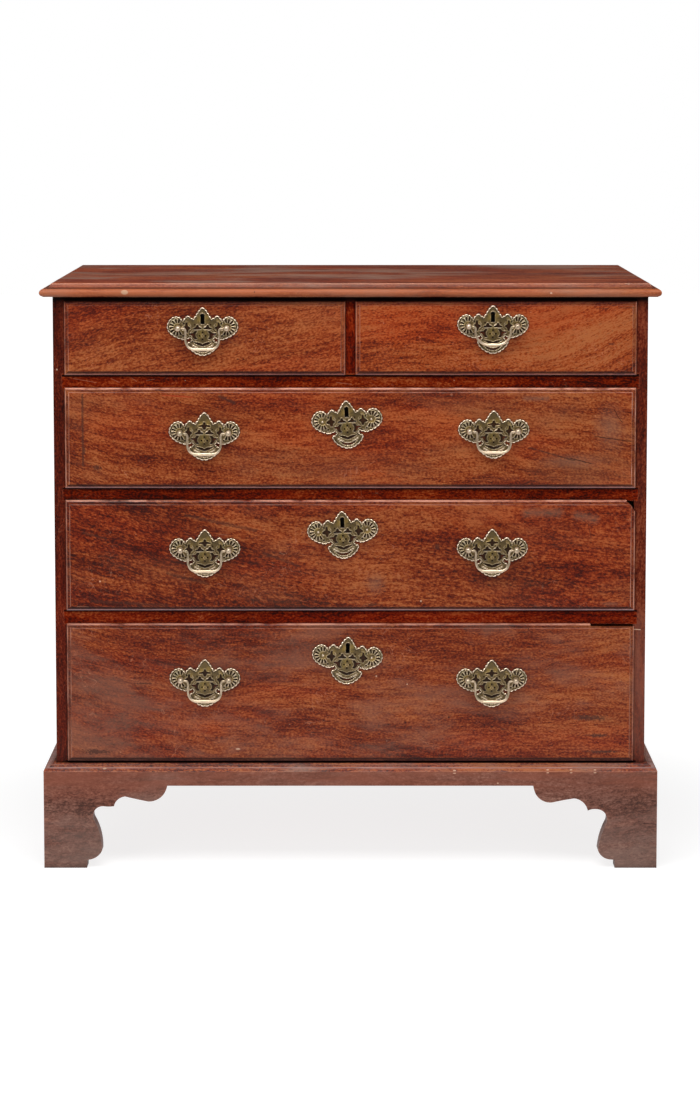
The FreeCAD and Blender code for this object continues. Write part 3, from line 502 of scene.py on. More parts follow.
def makePlainTimber(name, kind, grain, seed):
    look = {**plainTimber, **plainTimber[kind]}
    material, tree, shader = newMaterial(name)
    shifted = vectorCalc(tree, "ADD", objectPlace(tree), (seed, seed * 1.9, seed * 0.7))[0]
    coarse, fine = [look["across"]] * 3, [look["fibreAcross"]] * 3
    coarse["xyz".index(grain)] = look["along"]
    fine["xyz".index(grain)] = look["fibreAlong"]
    rings = noiseOf(tree, scaled(tree, shifted, coarse), 1.0, 4.0, 0.6, 0.6)
    wood = rampColour(tree, rings, [(stop, look[tone]) for tone, stop in look["ringTones"].items()])
    fibres = noiseOf(tree, scaled(tree, shifted, fine), 1.0, 2.0)
    wood = blendColour(tree, between(tree, fibres, *look["fibreEdge"]), wood, look["deep"], "MULTIPLY")
    flecks = speckOf(tree, scaled(tree, shifted, look["fleckStretch"]), *look["flecks"])
    wood = layOver(tree, wood, look["pale"], flecks, look["fleck"])
    dirtAndShade = between(tree, noiseOf(tree, shifted, *look["dirtAndShade"]), *look["dirtEdge"])
    wood = layOver(tree, wood, look["dirtAndShadeColour"], dirtAndShade, look["dirtAndShadeStrength"])
    # painted shade in the corners, from ambient occlusion
    nook = between(tree, nookOf(tree, look["nookReach"], 6), *look["nooks"])
    wood = layOver(tree, wood, look["nookColour"], nook, look["nookStrength"])
    plug(tree, shader.inputs["Base Color"], wood)
    shader.inputs["Roughness"].default_value = look["roughness"]
    roughen(tree, shader, fibres, look["reliefStrength"], look["reliefDepth"])
    return material


brass = {
    "hollow": (0.040, 0.0240, 0.0080),    # old polish and dirt, and painted shade in hollows and nooks
    "body": (0.225, 0.1500, 0.0600),
    # rubbed brass and its painted highlights
    "rubbed": (1.000, 0.8100, 0.6300),
    "tones": {"hollow": 0.12, "body": 0.45, "rubbed": 0.95},   # where each stands between dark and bright
    "cloudScale": 130.0,
    "cloudShare": 0.5,
    "grainScale": 900.0,
    "grainShare": 0.30,
    # ambient occlusion for painted shade in nooks: its reach, and its share by kind
    "nookReach": 0.005,
    "nookShadeShare": {"worked": 0.30, "turned": 0.56, "bent": 0.52},
    "nookFloor": 0.14,
    "patina": (0.170, 0.1650, 0.0600),
    "patinaScale": 60.0,
    "patinaEdge": (0.52, 0.70),
    "patinaStrength": 0.35,
    "gilt": (0.420, 0.2700, 0.0600),      # where the old lacquer has stayed yellow
    "giltStrength": 0.55,
    "giltEdge": (0.38, 0.60),
    "grip": (0.800, 0.6200, 0.4000),      # where hands have kept a bail bright, also painted as the highlight on its grip
    "gripEdge": (0.24, 0.096),            # where it begins and is full, of the bail's height
    "gripShine": 0.30,
    "gripStrength": 0.60,
    "metallic": 0.70,
    "metalEdge": (0.05, 0.45),            # the metal fades below the first of these levels, where dirt and painted shade darken the colour
    "roughness": 0.34,
    "roughnessSpread": 0.3,
    "reliefStrength": 0.25,
    "reliefDepth": 0.0001,
}


def makeBrass(name, kind):   # worked brass takes painted highlight and shade, dirt and lacquer from what is stored on the mesh
    material, tree, shader = newMaterial(name)
    place = objectPlace(tree)
    cloud = noiseOf(tree, place, brass["cloudScale"], 4.0, 0.6)
    grain = noiseOf(tree, place, brass["grainScale"], 3.0)
    # ambient occlusion adds painted shade in nooks, beside the bails and round the posts
    nook = nookOf(tree, brass["nookReach"], 6)
    nookShadeShare = brass["nookShadeShare"][kind]
    if kind == "worked":
        height = addNode(tree, "ShaderNodeAttribute", attribute_name="relief").outputs["Fac"]
        height = calc(tree, "MULTIPLY_ADD", calc(tree, "SUBTRACT", nook, 1.0), nookShadeShare, height)
    else:
        height = calc(tree, "MULTIPLY_ADD", nook, nookShadeShare, brass["nookFloor"])
    level = calc(tree, "MULTIPLY_ADD", calc(tree, "SUBTRACT", cloud, 0.5), brass["cloudShare"], height)
    level = calc(tree, "MULTIPLY_ADD", calc(tree, "SUBTRACT", grain, 0.5), brass["grainShare"], level)
    if kind == "bent":
        # the grip of a bail, rubbed bright by hands and painted as a highlight
        rise = axesOf(tree, addNode(tree, "ShaderNodeTexCoord").outputs["Generated"])[2]
        worn = between(tree, rise, *brass["gripEdge"])
        level = calc(tree, "MULTIPLY_ADD", worn, brass["gripShine"], level)
    colour = rampColour(tree, level, [(stop, brass[tone]) for tone, stop in brass["tones"].items()])
    green = between(tree, noiseOf(tree, place, brass["patinaScale"], 3.0), *brass["patinaEdge"])
    colour = layOver(tree, colour, brass["patina"], green, brass["patinaStrength"])
    if kind == "worked":
        yellow = addNode(tree, "ShaderNodeAttribute", attribute_name="gilt").outputs["Fac"]
        yellow = times(tree, yellow, between(tree, cloud, *brass["giltEdge"]))
        colour = layOver(tree, colour, brass["gilt"], yellow, brass["giltStrength"])
    if kind == "bent":
        colour = layOver(tree, colour, brass["grip"], worn, brass["gripStrength"])
    plug(tree, shader.inputs["Base Color"], colour)
    metal = times(tree, between(tree, level, *brass["metalEdge"]), brass["metallic"])
    plug(tree, shader.inputs["Metallic"], metal)
    spread = brass["roughnessSpread"]
    dull = calc(tree, "MULTIPLY_ADD", cloud, spread, brass["roughness"] - spread / 3)
    plug(tree, shader.inputs["Roughness"], dull)
    roughen(tree, shader, grain, brass["reliefStrength"], brass["reliefDepth"])
    return material


iron = {
    "steel": (0.075, 0.070, 0.066),
    "rust": (0.110, 0.045, 0.020),
    "rustScale": 180.0,
    "rustEdge": (0.45, 0.62),
    "roughness": 0.42,
    "rustRoughness": 0.35,   # added where it has rusted
}


def makeIron(name):
    material, tree, shader = newMaterial(name)
    rust = noiseOf(tree, objectPlace(tree), iron["rustScale"], 5.0, 0.65)
    rust = between(tree, rust, *iron["rustEdge"])
    plug(tree, shader.inputs["Base Color"], blendColour(tree, rust, iron["steel"], iron["rust"]))
    plug(tree, shader.inputs["Metallic"], calc(tree, "SUBTRACT", 1.0, rust))
    dull = calc(tree, "MULTIPLY_ADD", rust, iron["rustRoughness"], iron["roughness"])
    plug(tree, shader.inputs["Roughness"], dull)
    return material


# cast plates, in millimetres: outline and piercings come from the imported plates, the relief is worked here
wingMiddle = (38.6, 1.4)         # of the right wing; the left one mirrors it
plateRelief = {
    "thickness": 1.6,
    "spacing": 0.85,             # between points of the cast surface
    "rowShare": 0.87,            # of the spacing, from one row of points to the next
    "clear": 0.6,                # kept between the inner points and every edge
    "crowd": 0.42,               # of points closer than this only one is kept
    "rimSteps": (0.45, 0.9, 1.35, 1.9, 2.5),
    "holeSteps": (0.45, 1.0),
    "edgeHeight": 0.7,
    "bodyHeight": 1.15,
    "edgeSlope": 1.2,            # how wide the rise from edge to body is
    "rimHeight": 1.25,           # added at the crest of the rim
    "rimWidth": 2.2,
    "rimFullness": 2.2,
    "beadGap": 2.6,              # how far the rim sinks on either side of where two scallops meet
    "beadFloor": 0.15,           # what is left of it there
    "jointTurns": (-6, 28),      # degrees: an edge that turns back, or sharply, starts a new scallop
    "groovePlace": 2.5,          # middle of the groove inside the rim, and half its width
    "grooveHalf": 0.9,
    "grooveDepth": 0.35,
    "holeRimHeight": 0.55,
    "holeRimWidth": 1.5,
    "holeRimCrest": 1.3,         # twice its place across the width
    "boreRadius": 2.6,           # round holes up to this size take a post and have no rim
    "borePoints": 12,            # the fewest points of an outline that counts as round
    "tackBore": 1.6,             # holes up to this size are filled by their tacks
    "domeHeight": 0.5,
    "wingDome": 17.0,            # radius round the flutes' centre
    "bodyDome": (-8.0, 20.0, 18.0),   # height of its middle, half width, half height
    "fluteHeight": 0.5,
    "fluteCentre": wingMiddle,
    "fluteReach": (4.6, 14.6),
    "fluteInner": 9.0,           # how far towards the plate's middle they go
    "fluteStep": 26.5,           # degrees from one flute to the next
    "fluteFirst": 100.0,
    "fluteEnd": 1.2,             # how softly they begin and end
    "fanCentre": (0.0, -22.0),   # shell on the foot
    "fanReach": (9.0, 19.0),
    "fanStep": 13.0,
    "fanFirst": 90.0,
    "fanTop": -24.0,
    "ribHeight": 0.5,
    "bossShine": 0.6,
    "foot": 43.4,                # the plate's middle above its lowest point
    "tackPlace": wingMiddle,
    "tackHead": 1.9,
    "tackShine": 0.85,
    "backShine": 0.1,
    "bosses": (                  # place, radius, rise
        (*wingMiddle, 4.4, 0.9), (20.4, -24.0, 1.9, 0.5), (23.1, 14.6, 1.8, 0.4)),
    "gilt": (                    # place, radius
        (*wingMiddle, 7.0), (0.0, -11.0, 8.0), (6.5, 15.0, 6.0), (24.0, 8.0, 5.0)),
    "dirtAndShade": (                    # behind a plate, painted dark for old polish and the shade in its piercings: place and half size
        (-36.0, 2.0, 12.0, 10.0), (36.0, 2.0, 12.0, 10.0), (0.0, -9.0, 17.0, 24.0),
        (0.0, 15.0, 6.0, 10.0), (-24.0, 1.0, 8.0, 9.0), (24.0, 1.0, 8.0, 9.0)),
    "halo": (0.0, -3.0, 66.0, 48.0),
    "giltReach": 1.4,            # the lacquer ends at this share of its radius
    "sharpAngle": 50,
    "insetClear": 0.9,           # of an inset row's own step, kept from other edges
    "turns": {"upper_long": 3.4, "middle_long": 2.9, "lower_long": -2.8},   # keyhole plates, degrees
    # painted light on the plates: beads, ribs, hole rims, flutes, fan and bosses painted as highlights on
    # rubbed brass; the groove and the rim between beads as painted shade; soil as dirt with painted shade at
    # the edges of the piercings
    "shine": {"flat": 0.31, "bead": 1.05, "groove": -0.28, "shadedRim": -0.20, "ribs": 0.30, "holeRim": 0.30,
              "flutes": 0.14, "fan": 0.24, "soilAndShade": -0.45, "most": 1.2},
}
plateRibs = [   # raised lines on the right half: width, then points
    (1.1, [(15.8, -3.4), (19.0, -6.4)]),
    (1.1, [(18.0, -13.8), (16.6, -16.8), (13.4, -19.6)]),
    (1.3, [(16.4, -26.2), (12.4, -28.6), (7.4, -30.4)]),
    (1.1, [(4.8, 3.2), (2.6, 2.2)]),
    (1.0, [(0.0, -9.4), (2.6, -12.1), (0.0, -14.8)]),
    (1.0, [(17.8, 3.2), (20.4, 7.6)]),
    (1.0, [(22.4, 11.2), (26.4, 11.2)]),
    (1.1, [(24.2, -13.4), (29.0, -15.4), (36.0, -14.2)]),
]


def frontOf(drawer):   # Y of the face that the plates lie on, in metres
    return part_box(drawer + "_front")[0].y


def flatEdges(mesh, faceY):   # the open edges, in millimetres, of a mesh's faces at one depth
    points = [(round(v.co.x * perMetre, 3), round(v.co.z * perMetre, 3)) for v in mesh.vertices]
    flat = [abs(v.co.y - faceY) < 1e-5 for v in mesh.vertices]
    edges = set()
    for polygon in mesh.polygons:
        corners = list(polygon.vertices)
        if not all(flat[corner] for corner in corners):
            continue
        for first, second in zip(corners, corners[1:] + corners[:1]):
            edge = (points[first], points[second])
            if edge[::-1] in edges:
                edges.remove(edge[::-1])
            elif edge[0] != edge[1]:
                edges.add(edge)
    return edges


def closedLoops(edges):
    following = dict(edges)
    loops = []
    while following:
        here = min(following)
        loop = []
        while here in following:
            loop.append(here)
            here = following.pop(here)
        if len(loop) > 2:
            loops.append(np.array(loop))
    return loops


def loopArea(loop):
    x, z = loop[:, 0], loop[:, 1]
    return abs(np.sum(x * np.roll(z, -1) - z * np.roll(x, -1))) / 2


def isInside(points, loop):
    found = np.zeros(len(points), bool)
    for (x0, z0), (x1, z1) in zip(loop, np.roll(loop, -1, axis=0)):
        crosses = (z0 > points[:, 1]) != (z1 > points[:, 1])
        rise = z1 - z0 if z1 != z0 else 1e-9
        found ^= crosses & (points[:, 0] < (x1 - x0) * (points[:, 1] - z0) / rise + x0)
    return found


def plateParts(drawer):   # every plate of a drawer, from left to right: its middle, turn and loops about it
    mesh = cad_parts[drawer + "_brass_plates"].data
    faceY = frontOf(drawer) - plateRelief["thickness"] / perMetre
    loops = sorted(closedLoops(flatEdges(mesh, faceY)), key=loopArea, reverse=True)
    count = 1 if drawer.startswith("short") else 3
    plates = []
    for number, outline in enumerate(sorted(loops[:count], key=lambda loop: loop[:, 0].mean())):
        turn = math.radians(plateRelief["turns"].get(drawer, 0.0) if number == 1 else 0.0)
        straighten = np.array([[math.cos(turn), -math.sin(turn)], [math.sin(turn), math.cos(turn)]])
        level = outline @ straighten
        low, high = level.min(axis=0), level.max(axis=0)
        middle = np.array([(low[0] + high[0]) / 2, low[1] + plateRelief["foot"]])
        holes = [loop @ straighten - middle for loop in loops[count:] if isInside(loop[:1], outline)[0]]
        holes = [hole for hole in holes if np.ptp(hole, axis=0).max() > plateRelief["tackBore"]]
        plates.append((straighten @ middle, turn, level - middle, holes))
    return plates


# the drawer fronts, each cut from its own board; marks are placed by x and z in metres
frontY = frontOf("short_left")
black, soot, haze = (0.012, 0.004, 0.003), (0.050, 0.018, 0.012), (0.200, 0.1050, 0.0680)
pale, scraped = (0.60, 0.38, 0.26), (0.30, 0.12, 0.07)


def spots(*places, y=frontY):   # four numbers for an oval, five for a stroke
    return [(x, y, *rest) for x, *rest in places]


def behindPlates(drawer):   # ovals painted dark behind the plates for old polish and shade, and the halo of dirt and shade round them, in metres
    dirtAndShade, halo = [], []
    for (x, z), turn, outline, holes in plateParts(drawer):
        for aside, rise, halfX, halfZ in plateRelief["dirtAndShade"]:
            dirtAndShade.append((x + aside, z + rise, halfX, halfZ))
        aside, rise, halfX, halfZ = plateRelief["halo"]
        halo.append((x + aside, z + rise, halfX, halfZ))
    return [spots(*([part / perMetre for part in oval] for oval in ovals)) for ovals in (dirtAndShade, halo)]


frontLooks = {
    "short_left": {
        "seed": 1.0, "lean": -0.17, "warmth": 0.158, "drift": 0.20, "fade": 0.10,
        "lipShine": (0.10, 0.55, 0.40, 0.35),
        "marks": [(black, 0.85, 0.9, spots(
            (-0.1768, 0.8123, 0.0032, 0.0015), (-0.1677, 0.8120, 0.0022, 0.0014),
            (-0.0970, 0.8180, 0.0060, 0.0008), (-0.0850, 0.8090, 0.0030, 0.0010),
            (-0.0725, 0.7990, 0.0050, 0.0008), (-0.0600, 0.8140, 0.0016, 0.0013)))],
    },
    "short_right": {
        "seed": 2.3, "lean": 0.02, "curls": [(0.20, 1, -2.4)], "warmth": 0.130, "fade": 0.03,
        "warm": (0.300, 0.0500, 0.0085), "lipShine": (0.12, 0.40, 0.55, 0.35),
        "marks": [(soot, 0.6, 1.2, spots(
            (0.395, 0.892, 0.022, 0.0016), (0.410, 0.836, 0.012, 0.0030),
            (0.421, 0.893, 0.445, 0.893, 0.0016)))],
    },
    "upper_long": {
        "seed": 3.1, "lean": 0.0, "curls": [(-0.12, -1, 0.85), (0.18, 1, 0.5)], "warmth": 0.110,
        "fade": 0.30, "drift": 0.06, "lipShine": (0.95, 0.70, 1.00, 0.55),
        "marks": [
            (soot, 0.70, 1.3, spots(
                (-0.4190, 0.668, 0.0050, 0.014), (-0.4000, 0.640, 0.0160, 0.010),
                (0.2816, 0.6722, 0.3525, 0.6516, 0.0028), (-0.207, 0.7535, -0.183, 0.7435, 0.0060))),
            (soot, 0.65, 1.0, spots((-0.4215, 0.644, -0.4215, 0.756, 0.0030))),
            (black, 0.75, 0.9, spots(
                (0.385, 0.690, 0.414, 0.686, 0.0011), (0.414, 0.686, 0.442, 0.682, 0.0011),
                (0.415, 0.7325, 0.4215, 0.720, 0.0010), (0.4215, 0.720, 0.428, 0.712, 0.0010),
                (0.348, 0.655, 0.379, 0.647, 0.0014))),
            ((0.36, 0.030, 0.010), 0.60, 0.9, spots((-0.2950, 0.7550, -0.2480, 0.7520, 0.0018)))],
        "hazes": [(haze, 0.45, spots(
            (0.408, 0.705, 0.026, 0.040), (0.350, 0.650, 0.050, 0.012),
            (0.2750, 0.750, 0.3090, 0.750, 0.0050)))],
    },
    "middle_long": {
        "seed": 4.6, "lean": 0.06, "curls": [(0.02, -1, 0.50)], "warmth": 0.030, "drift": 0.17,
        "fade": 0.22, "wormholes": 0.010, "lipShine": (0.75, 0.55, 0.75, 0.85),
        "marks": [
            (black, 0.85, 0.7, spots(
                (0.3087, 0.4275, 0.0016, 0.0016), (0.3167, 0.4181, 0.0016, 0.0016),
                (0.3616, 0.4687, 0.0016, 0.0016), (0.2885, 0.4165, 0.0022, 0.0010),
                (0.3460, 0.4620, 0.0012, 0.0012), (0.3061, 0.4203, 0.0012, 0.0012),
                (-0.1680, 0.4180, 0.0024, 0.0020))),
            (soot, 0.70, 1.2, spots(
                (0.036, 0.4219, 0.024, 0.0050), (-0.020, 0.4150, 0.060, 0.0030),
                (0.137, 0.5150, 0.0100, 0.0090), (0.3751, 0.5530, 0.3799, 0.5290, 0.0010),
                (0.3690, 0.5560, 0.3820, 0.5460, 0.0010))),
            (soot, 0.55, 1.2, spots(
                (-0.4223, 0.5370, -0.3861, 0.5274, 0.0040), (-0.2594, 0.5641, -0.1491, 0.5402, 0.0060),
                (-0.1366, 0.5035, -0.0830, 0.4843, 0.0050), (-0.2886, 0.4715, -0.2255, 0.4555, 0.0050),
                (-0.4100, 0.4270, -0.2900, 0.4210, 0.0050))),
            (scraped, 0.70, 0.6, spots(
                (-0.2080, 0.5340, -0.1950, 0.5330, 0.0008), (-0.4320, 0.4190, -0.4150, 0.4180, 0.0010))),
            (pale, 0.9, 0.5, spots((0.1116, 0.4275, 0.0015, 0.0020), (-0.3960, 0.4590, 0.0016, 0.0016)))],
        "hazes": [(haze, 0.45, spots(
            (0.0400, 0.4560, 0.017, 0.019), (0.2771, 0.5689, 0.3292, 0.5689, 0.0090),
            (0.3580, 0.5640, 0.3860, 0.5580, 0.0090), (0.4120, 0.4230, 0.018, 0.0040)))],
    },
    "lower_long": {
        "seed": 6.2, "lean": 0.02, "curls": [(-0.10, -1, 0.7)], "warmth": 0.055, "drift": 0.02,
        "fade": 0.55, "faded": (0.230, 0.0950, 0.0600), "wormholes": 0.014,
        "lipShine": (0.60, 0.55, 0.45, 0.25),
        "marks": [
            (soot, 0.8, 1.3, spots(
                (0.2423, 0.2215, 0.0110, 0.0024), (0.3933, 0.2111, 0.040, 0.0060),
                (-0.4047, 0.1850, 0.050, 0.0080), (0.380, 0.2400, 0.060, 0.0100),
                (-0.330, 0.2950, 0.034, 0.0034), (0.400, 0.1850, 0.050, 0.0050))),
            (black, 0.85, 0.7, spots(
                (0.1560, 0.2407, 0.0022, 0.0022), (0.0870, 0.2330, 0.0022, 0.0016),
                (0.2820, 0.3830, 0.0014, 0.0014), (0.3045, 0.3660, 0.0012, 0.0012),
                (0.3050, 0.3540, 0.0012, 0.0012), (0.3040, 0.3430, 0.0012, 0.0012),
                (0.3050, 0.3320, 0.0012, 0.0012))),
            (pale, 0.85, 0.6, spots(
                (-0.1790, 0.1895, 0.0050, 0.0016), (0.0410, 0.3070, 0.0014, 0.0018),
                (0.0900, 0.2940, 0.0016, 0.0016)))],
    },
}
fronts = {}
for name, look in frontLooks.items():
    low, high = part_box(name + "_front")
    behind, halo = behindPlates(name)
    fronts[name] = makeMahogany("mahogany " + name.replace("_", " ") + " drawer", behind=behind, halo=halo,
                                lip=(low.x, high.x, low.z, high.z), **look)

# the case, its top and its base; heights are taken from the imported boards
topLow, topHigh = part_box("top_board")
baseLow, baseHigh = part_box("base_moulding")
topUnder, topOver, topY, caseY = topLow.z, topHigh.z, topLow.y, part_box("left_side")[0].y
# levels below which a painted black shadow hangs: under the top's overhang and under each drawer's lip
underTop = [(topUnder, 0.012)]
underLips = [(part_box(name + "_front")[0].z, 0.0038) for name in drawerNames]

caseLook = {
    "dark": (0.022, 0.0030, 0.0020), "red": (0.055, 0.0060, 0.0022), "brown": (0.088, 0.0100, 0.0035),
    "warm": (0.135, 0.0190, 0.0060), "light": (0.220, 0.0500, 0.0200), "faded": (0.100, 0.0300, 0.0200),
    "fade": 0.12, "worn": (0.420, 0.1500, 0.0800), "shadeAndGrimeReach": 0.022, "specular": 0.10, "coat": 0.0,
}
railLook = {
    **caseLook,
    "red": (0.085, 0.0050, 0.0006), "brown": (0.140, 0.0095, 0.0008), "warm": (0.200, 0.0210, 0.0024),
    "light": (0.300, 0.0650, 0.0160), "warmth": -0.030, "fade": 0.03, "specular": 0.05,
}
plinthLook = {
    "dark": (0.060, 0.0240, 0.0170), "red": (0.110, 0.0400, 0.0260), "brown": (0.155, 0.0620, 0.0440),
    "warm": (0.205, 0.0900, 0.0640), "light": (0.300, 0.1500, 0.1080), "faded": (0.225, 0.1380, 0.1100),
    "fade": 0.5, "stain": 0.30, "roughness": 0.50, "coat": 0.0,
    "layers": ((4.0, 13.0, 3.0, 0.55), (11.0, 60.0, 4.0, 0.60), (60.0, 210.0, 3.0, 0.80),
               (240.0, 430.0, 2.0, 1.00)),
    "bands": [(0.126, 0.190, 0.022, (0.250, 0.0720, 0.0400), 0.70),
              (-0.050, 0.075, 0.030, (0.200, 0.1250, 0.1020), 0.45)],
}
sideMarks = [(pale, 0.80, 0.7, spots((0.4440, 0.3810, 0.4600, 0.3800, 0.0010),
                                     (-0.4620, 0.7950, 0.0014, 0.0020), y=caseY))]
railMarks = [(scraped, 0.55, 1.1, spots(
    (-0.4362, 0.7806, -0.4000, 0.7743, 0.0009), (-0.3764, 0.7806, -0.3638, 0.7743, 0.0009),
    (-0.3448, 0.7822, -0.3370, 0.7759, 0.0009), (-0.3213, 0.7775, -0.3086, 0.7798, 0.0008),
    (-0.0220, 0.7745, 0.0015, 0.7715, 0.0011), y=caseY))]
topMarks = [
    ((0.50, 0.30, 0.19), 0.9, 0.5, spots((-0.3532, 0.9181, 0.0064, 0.0046), y=topY)),
    ((0.66, 0.46, 0.34), 0.9, 0.7, spots(
        (0.3860, 0.9256, 0.0040, 0.0012), (0.3140, 0.9170, 0.0024, 0.0016),
        (-0.1760, 0.9300, 0.0030, 0.0012), (-0.0840, 0.9320, 0.0030, 0.0010),
        (0.2750, 0.9320, 0.0030, 0.0010), y=topY)),
    (black, 0.8, 0.7, spots((-0.1500, 0.9186, 0.0016, 0.0014), y=topY)),
    ((0.55, 0.36, 0.26), 0.8, 1.3, spots((0.4350, 0.9305, 0.0140, 0.0030), y=topY + 0.012)),
]
topBands = [   # the round, the fillet above it and the hollows between; the hollows painted dark as shade, the top arris painted pale as a highlight
    (topUnder + 0.0012, topUnder + 0.0128, 0.0017, (0.430, 0.1240, 0.0500), 0.85),
    (topUnder + 0.0135, topOver - 0.0005, 0.0010, (0.300, 0.1000, 0.0600), 0.45),
    # painted shade in the two hollows
    (topUnder + 0.0128, topUnder + 0.0146, 0.0003, (0.045, 0.0130, 0.0080), 0.85),
    (topUnder + 0.0158, topUnder + 0.0166, 0.0002, (0.110, 0.0360, 0.0240), 0.60),
    # painted highlight on the top arris
    (topOver - 0.0018, topOver - 0.0006, 0.0003, (0.560, 0.2800, 0.1900), 0.85),
]
baseMarks = [(pale, 0.9, 0.6, spots(
    (0.165, 0.1575, 0.003, 0.0016), (0.313, 0.1585, 0.003, 0.0012), (0.350, 0.1585, 0.003, 0.0012),
    (-0.390, 0.160, 0.004, 0.0012), (0.388, 0.1585, 0.002, 0.0012), y=topY))]
baseLines = {   # arrises of the base moulding rubbed pale and painted as highlights: share of its height, strength
    "colour": (0.620, 0.4200, 0.3900), "half": 0.0004, "soft": 0.0003,
    "levels": ((0.12, 0.30), (0.50, 0.55), (0.79, 0.25)),
}
baseBands = []
for share, strength in baseLines["levels"]:
    level = baseLow.z + (baseHigh.z - baseLow.z) * share
    baseBands.append((level - baseLines["half"], level + baseLines["half"], baseLines["soft"],
                      baseLines["colour"], strength))
plinthMarks = [
    (pale, 0.8, 0.6, spots(
        (0.165, 0.1530, 0.003, 0.0012), (0.313, 0.1540, 0.003, 0.0012), (0.350, 0.1540, 0.003, 0.0012),
        (0.388, 0.1540, 0.003, 0.0012), (0.234, 0.1370, 0.0016, 0.0016), y=topY)),
    (black, 0.7, 0.8, spots((0.463, 0.0725, 0.488, 0.0700, 0.0009), y=topY)),
]
boards = {
    "left side": {**caseLook, "grain": "z", "seed": 7.7, "shadowLevels": underTop, "marks": sideMarks},
    "right side": {**caseLook, "grain": "z", "seed": 10.3, "shadowLevels": underTop, "marks": sideMarks,
                   "warmth": 0.05, "bands": [(0.170, 0.400, 0.034, (0.200, 0.0760, 0.0520), 0.60)]},
    "rails": {**railLook, "seed": 8.4, "shadowLevels": underTop + underLips, "marks": railMarks},
    "divider": {**railLook, "grain": "z", "seed": 9.2, "shadowLevels": underTop},
    "top": {"seed": 11.5, "warmth": 0.05, "fade": 0.85, "faded": (0.268, 0.1540, 0.1120), "wear": 0.9,
            "worn": (0.600, 0.2700, 0.1500), "shadeAndGrime": 0.5, "roughness": 0.50, "coat": 0.0,
            "marks": topMarks, "bands": topBands},
    "base moulding": {"seed": 12.9, "warmth": 0.10, "contrast": 1.5, "fade": 0.75, "wear": 0.7,
                      "faded": (0.285, 0.1560, 0.1150), "marks": baseMarks, "bands": baseBands},
    "plinth": {**plinthLook, "seed": 14.1, "marks": plinthMarks},
    "plinth sides": {**plinthLook, "grain": "y", "seed": 15.6},
}
plainBoards = {   # kind, grain, seed
    "oak drawer linings": ("oak", "y", 1.3),
    "oak drawer bottoms": ("oak", "x", 2.9),
    "pine back boards": ("pine", "z", 4.4),
    "pine case boards": ("pine", "x", 5.2),
}
timbers = {name: makeMahogany("mahogany " + name, **look) for name, look in boards.items()}
for name, (kind, grain, seed) in plainBoards.items():
    timbers[name] = makePlainTimber(name, kind, grain, seed)
metals = {"turned": makeBrass("brass pommels", "turned"), "bent": makeBrass("brass bails", "bent"),
          "worked": makeBrass("brass cast plates", "worked"), "iron": makeIron("iron locks")}
print("materials made:", len(bpy.data.materials))

finishes = {
    "top": ["top_board"],
    "left side": ["left_side"],
    "right side": ["right_side"],
    "rails": ["top_rail", "drawer_rails", "bottom_board"],
    "divider": ["short_drawer_divider"],
    "base moulding": ["base_moulding"],
    "plinth": ["plinth_front"],
    "plinth sides": ["plinth_left_side", "plinth_right_side"],
    "pine back boards": ["back_boards", "rear_feet"],
    "pine case boards": ["dustboards", "short_drawer_partition", "glue_blocks"],
}


def dress(node, material):
    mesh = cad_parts[node].data
    mesh.materials.clear()
    mesh.materials.append(material)


for timber, nodes in finishes.items():
    for node in nodes:
        dress(node, timbers[timber])
for name in drawerNames:
    dress(name + "_front", fronts[name])
    dress(name + "_box", timbers["oak drawer linings"])
    dress(name + "_bottom", timbers["oak drawer bottoms"])
    dress(name + "_lock_case", metals["iron"])
    dress(name + "_lock_bolt", metals["iron"])
    dress(name + "_handle_posts", metals["turned"])
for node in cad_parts:
    if node.endswith("_bail"):
        dress(node, metals["bent"])
print("case and drawers dressed")


# relief of the cast plates, worked over the outlines found above

def finelySpaced(loop, spacing):
    points = []
    for first, second in zip(loop, np.roll(loop, -1, axis=0)):
        count = max(1, round(float(np.linalg.norm(second - first)) / spacing))
        points += [first + (second - first) * step / count for step in range(count)]
    return np.array(points)


def distanceTo(points, line, closed=True):   # to the nearest stretch of a line
    starts = line if closed else line[:-1]
    ends = np.roll(line, -1, axis=0) if closed else line[1:]
    best = np.full(len(points), 1e9)
    for start, end in zip(starts, ends):
        run = end - start
        share = np.clip(((points - start) @ run) / max(float(run @ run), 1e-12), 0.0, 1.0)
        best = np.minimum(best, np.linalg.norm(points - start - share[:, None] * run, axis=1))
    return best


def insetPoints(loop, step, allLoops):   # a row of points beside a loop, at one distance from every edge
    run = np.roll(loop, -1, axis=0) - np.roll(loop, 1, axis=0)
    normal = np.stack([-run[:, 1], run[:, 0]], axis=1)
    normal /= np.maximum(np.linalg.norm(normal, axis=1), 1e-9)[:, None]
    rows = np.concatenate([loop + normal * step, loop - normal * step])
    clear = np.min([distanceTo(rows, other) for other in allLoops], axis=0)
    return rows[clear > step * plateRelief["insetClear"]]


def scallopJoints(outline):   # the points where two scallops of the edge meet
    back, sharp = plateRelief["jointTurns"]
    before, after = outline - np.roll(outline, 1, axis=0), np.roll(outline, -1, axis=0) - outline
    cross = before[:, 0] * after[:, 1] - before[:, 1] * after[:, 0]
    turns = np.degrees(np.arctan2(cross, (before * after).sum(axis=1)))
    return outline[(turns * np.sign(turns.sum()) < back) | (np.abs(turns) > sharp)]


def fromPlace(points, place):
    return np.hypot(points[:, 0] - place[0], points[:, 1] - place[1])


def hump(share, power=2):   # 1 in the middle, 0 from a share of 1 outwards
    return np.clip(1 - np.abs(share) ** power, 0, 1)


